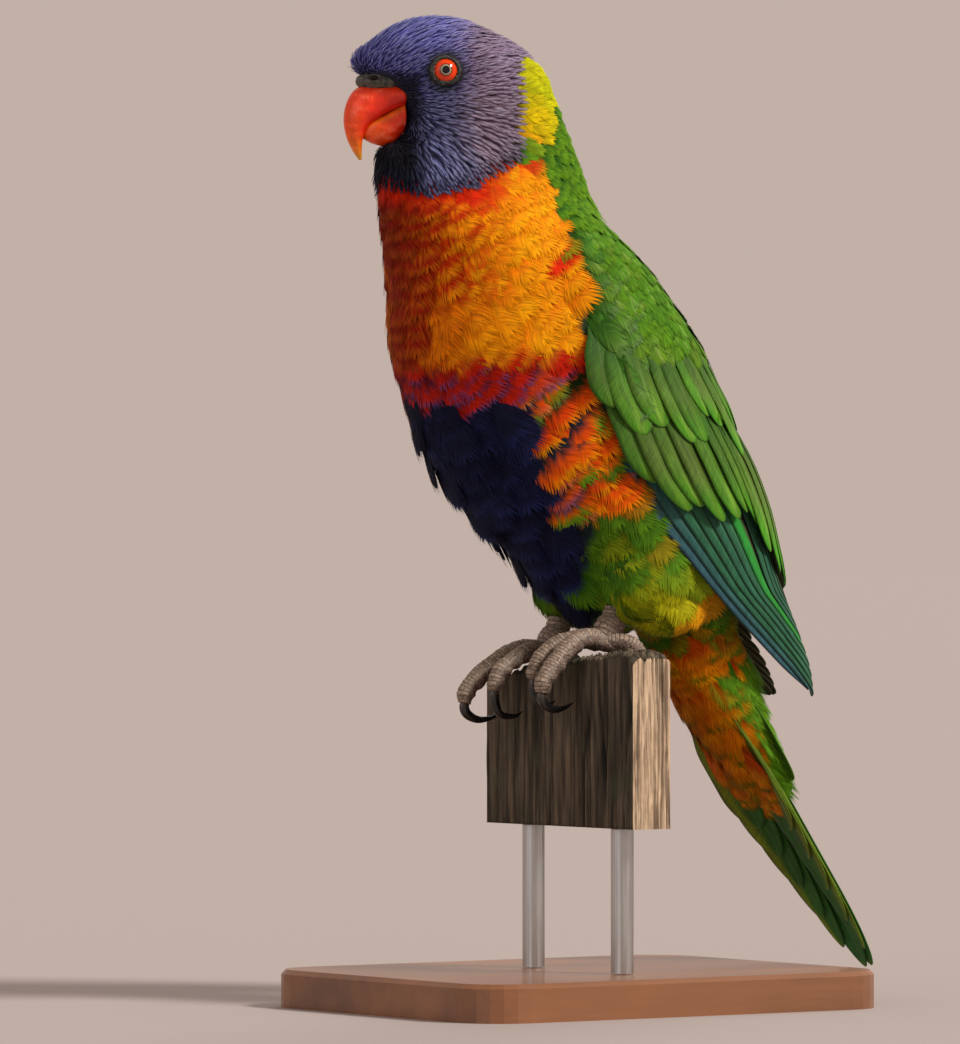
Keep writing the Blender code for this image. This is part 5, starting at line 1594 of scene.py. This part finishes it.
def board_end(name, outline, way, columns=30, rows=70):
    """The sawn end of the board within its outline there, with upright grain and splits. It is paler than the faces,
    partly as sawn wood and partly as painted light, and its splits are darkened as painted shade.
    """
    x = BOARD_TOP[-1 if way > 0 else 0, 0]
    top_line = outline[FACE_POINTS - 2:2 - FACE_POINTS]
    ys = np.linspace(BOARD_FRONT, BOARD_BACK, columns)
    tops = np.interp(ys, top_line[:, 1], top_line[:, 2])
    co, tint = [], []
    for j, k in product(range(columns), range(rows)):
        y, z = ys[j], tops[j] + (-BOARD_DROP - tops[j]) * k / (rows - 1)
        fine = noise.fractal(Vector((y * 1.1, 9.0 + x, z * 0.06)), 0.8, 2.1, 5)
        crack = max(0.0, 1 - abs(noise.noise(Vector((y * 0.42, 2.0 + x, z * 0.014)))) * 11)
        inside = min(1.0, (y - BOARD_FRONT) / 0.9, (BOARD_BACK - y) / 0.9, (tops[j] - z) / 0.9 + 0.02)
        co.append((x + way * (0.30 * fine - 0.9 * crack + 0.15) * max(inside, 0.0), y, z))
        # Paler wood: partly sawn wood, partly painted light.
        wood = mixed(tone(112, 92, 72), tone(206, 178, 148), np.clip(0.55 + 0.9 * fine, 0, 1))
        # Splits darkened: painted shade in them.
        tint.append(mixed(wood, tone(44, 34, 28), min(crack * 0.9, 0.9)))
    return mesh_piece(name, co, grid_faces(columns, rows), WOOD, tint)


outlines, tint = board()
faces = grid_faces(*outlines.shape[:2], True)
perch = mesh_piece("perch_board", outlines.reshape(-1, 3), faces, WOOD, tint.reshape(-1, 3))
work = bmesh.new()
work.from_mesh(perch.data)
bmesh.ops.remove_doubles(work, verts=work.verts, dist=1e-6)
work.to_mesh(perch.data)
work.free()
board_end("perch_end_near", outlines[-1], 1)
board_end("perch_end_far", outlines[0], -1).data.flip_normals()
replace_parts(perch, "perch")

# The stand keeps its own solids with a finished surface
BASE = surface_material("satin_walnut", 0.38, 55.0, 0.6, 1.45, 0.12, 0.0003, (1.0, 0.10, 1.0), 7.0, tone(120, 76, 46),
                        coat=0.25)
ROD = surface_material("brushed_steel", 0.32, 900.0, 0.85, 1.1, 0.08, 0.0001, (1, 1, 0.05), 3.0, tone(190, 190, 188),
                       metallic=1.0)
for name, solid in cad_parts.items():
    if name.startswith("stand_"):
        solid.data.materials.clear()
        solid.data.materials.append(BASE if "base" in name else ROD)

# Floor, light and camera

FLOOR_REACH = 14
TARGET = Vector((-0.0148, -0.0211, 0.1282))
VIEW = math.radians(55.0)
DISTANCE, HEIGHT_SEEN, FILM = 2.2, 0.276, 36.0

pale_floor, tree, shader = new_material("pale_floor")
set_inputs(tree, shader, {"Base Color": (0.361, 0.313, 0.299, 1), "Roughness": 0.9})
mesh = bpy.data.meshes.new("floor")
corners = [(x * FLOOR_REACH, y * FLOOR_REACH, 0) for x, y in ((-1, -1), (1, -1), (1, 1), (-1, 1))]
mesh.from_pydata(corners, [], [(0, 1, 2, 3)])
floor = bpy.data.objects.new("floor", mesh)
mesh.materials.append(pale_floor)
bpy.context.scene.collection.objects.link(floor)
floor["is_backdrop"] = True

world = bpy.data.worlds.new("studio")
bpy.context.scene.world = world
world.use_nodes = True
world.node_tree.nodes["Background"].inputs["Color"].default_value = (*tone(244, 222, 210), 1)
world.node_tree.nodes["Background"].inputs["Strength"].default_value = 0.6

back = Vector((math.sin(VIEW), -math.cos(VIEW), 0.0))
aside = Vector((math.cos(VIEW), math.sin(VIEW), 0.0))


def looking_on(name, data, place, way):
    """An object at place whose back points along way."""
    made = bpy.data.objects.new(name, data)
    bpy.context.scene.collection.objects.link(made)
    made.location = place
    made.rotation_mode = "QUATERNION"
    made.rotation_quaternion = way.to_track_quat("Z", "Y")
    return made


def lamp(name, offset, size, power, colour):
    """A soft light from the side where offset points."""
    data = bpy.data.lights.new(name, "SUN")
    data.angle = math.radians(size)
    data.energy = power
    data.color = colour
    looking_on(name, data, TARGET + offset, offset)


lamp("key", aside * 1.43 + back * 0.74 + Vector((0, 0, 1.3)), 12.0, 3.6, (1.0, 0.96, 0.9))
lamp("fill", aside * -1.3 + back * 1.3 + Vector((0, 0, 0.6)), 40.0, 0.35, (0.88, 0.93, 1.0))
lamp("rim", aside * 0.4 - back * 1.2 + Vector((0, 0, 1.2)), 25.0, 0.5, (1.0, 0.97, 0.92))

bpy.context.scene.view_settings.view_transform = "Standard"

camera = bpy.data.cameras.new("camera")
camera.lens = FILM * DISTANCE / HEIGHT_SEEN
camera.sensor_width = FILM
camera.clip_start, camera.clip_end = 0.1, 60.0
bpy.context.scene.camera = looking_on("camera", camera, TARGET + back * DISTANCE, back)

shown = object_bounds()
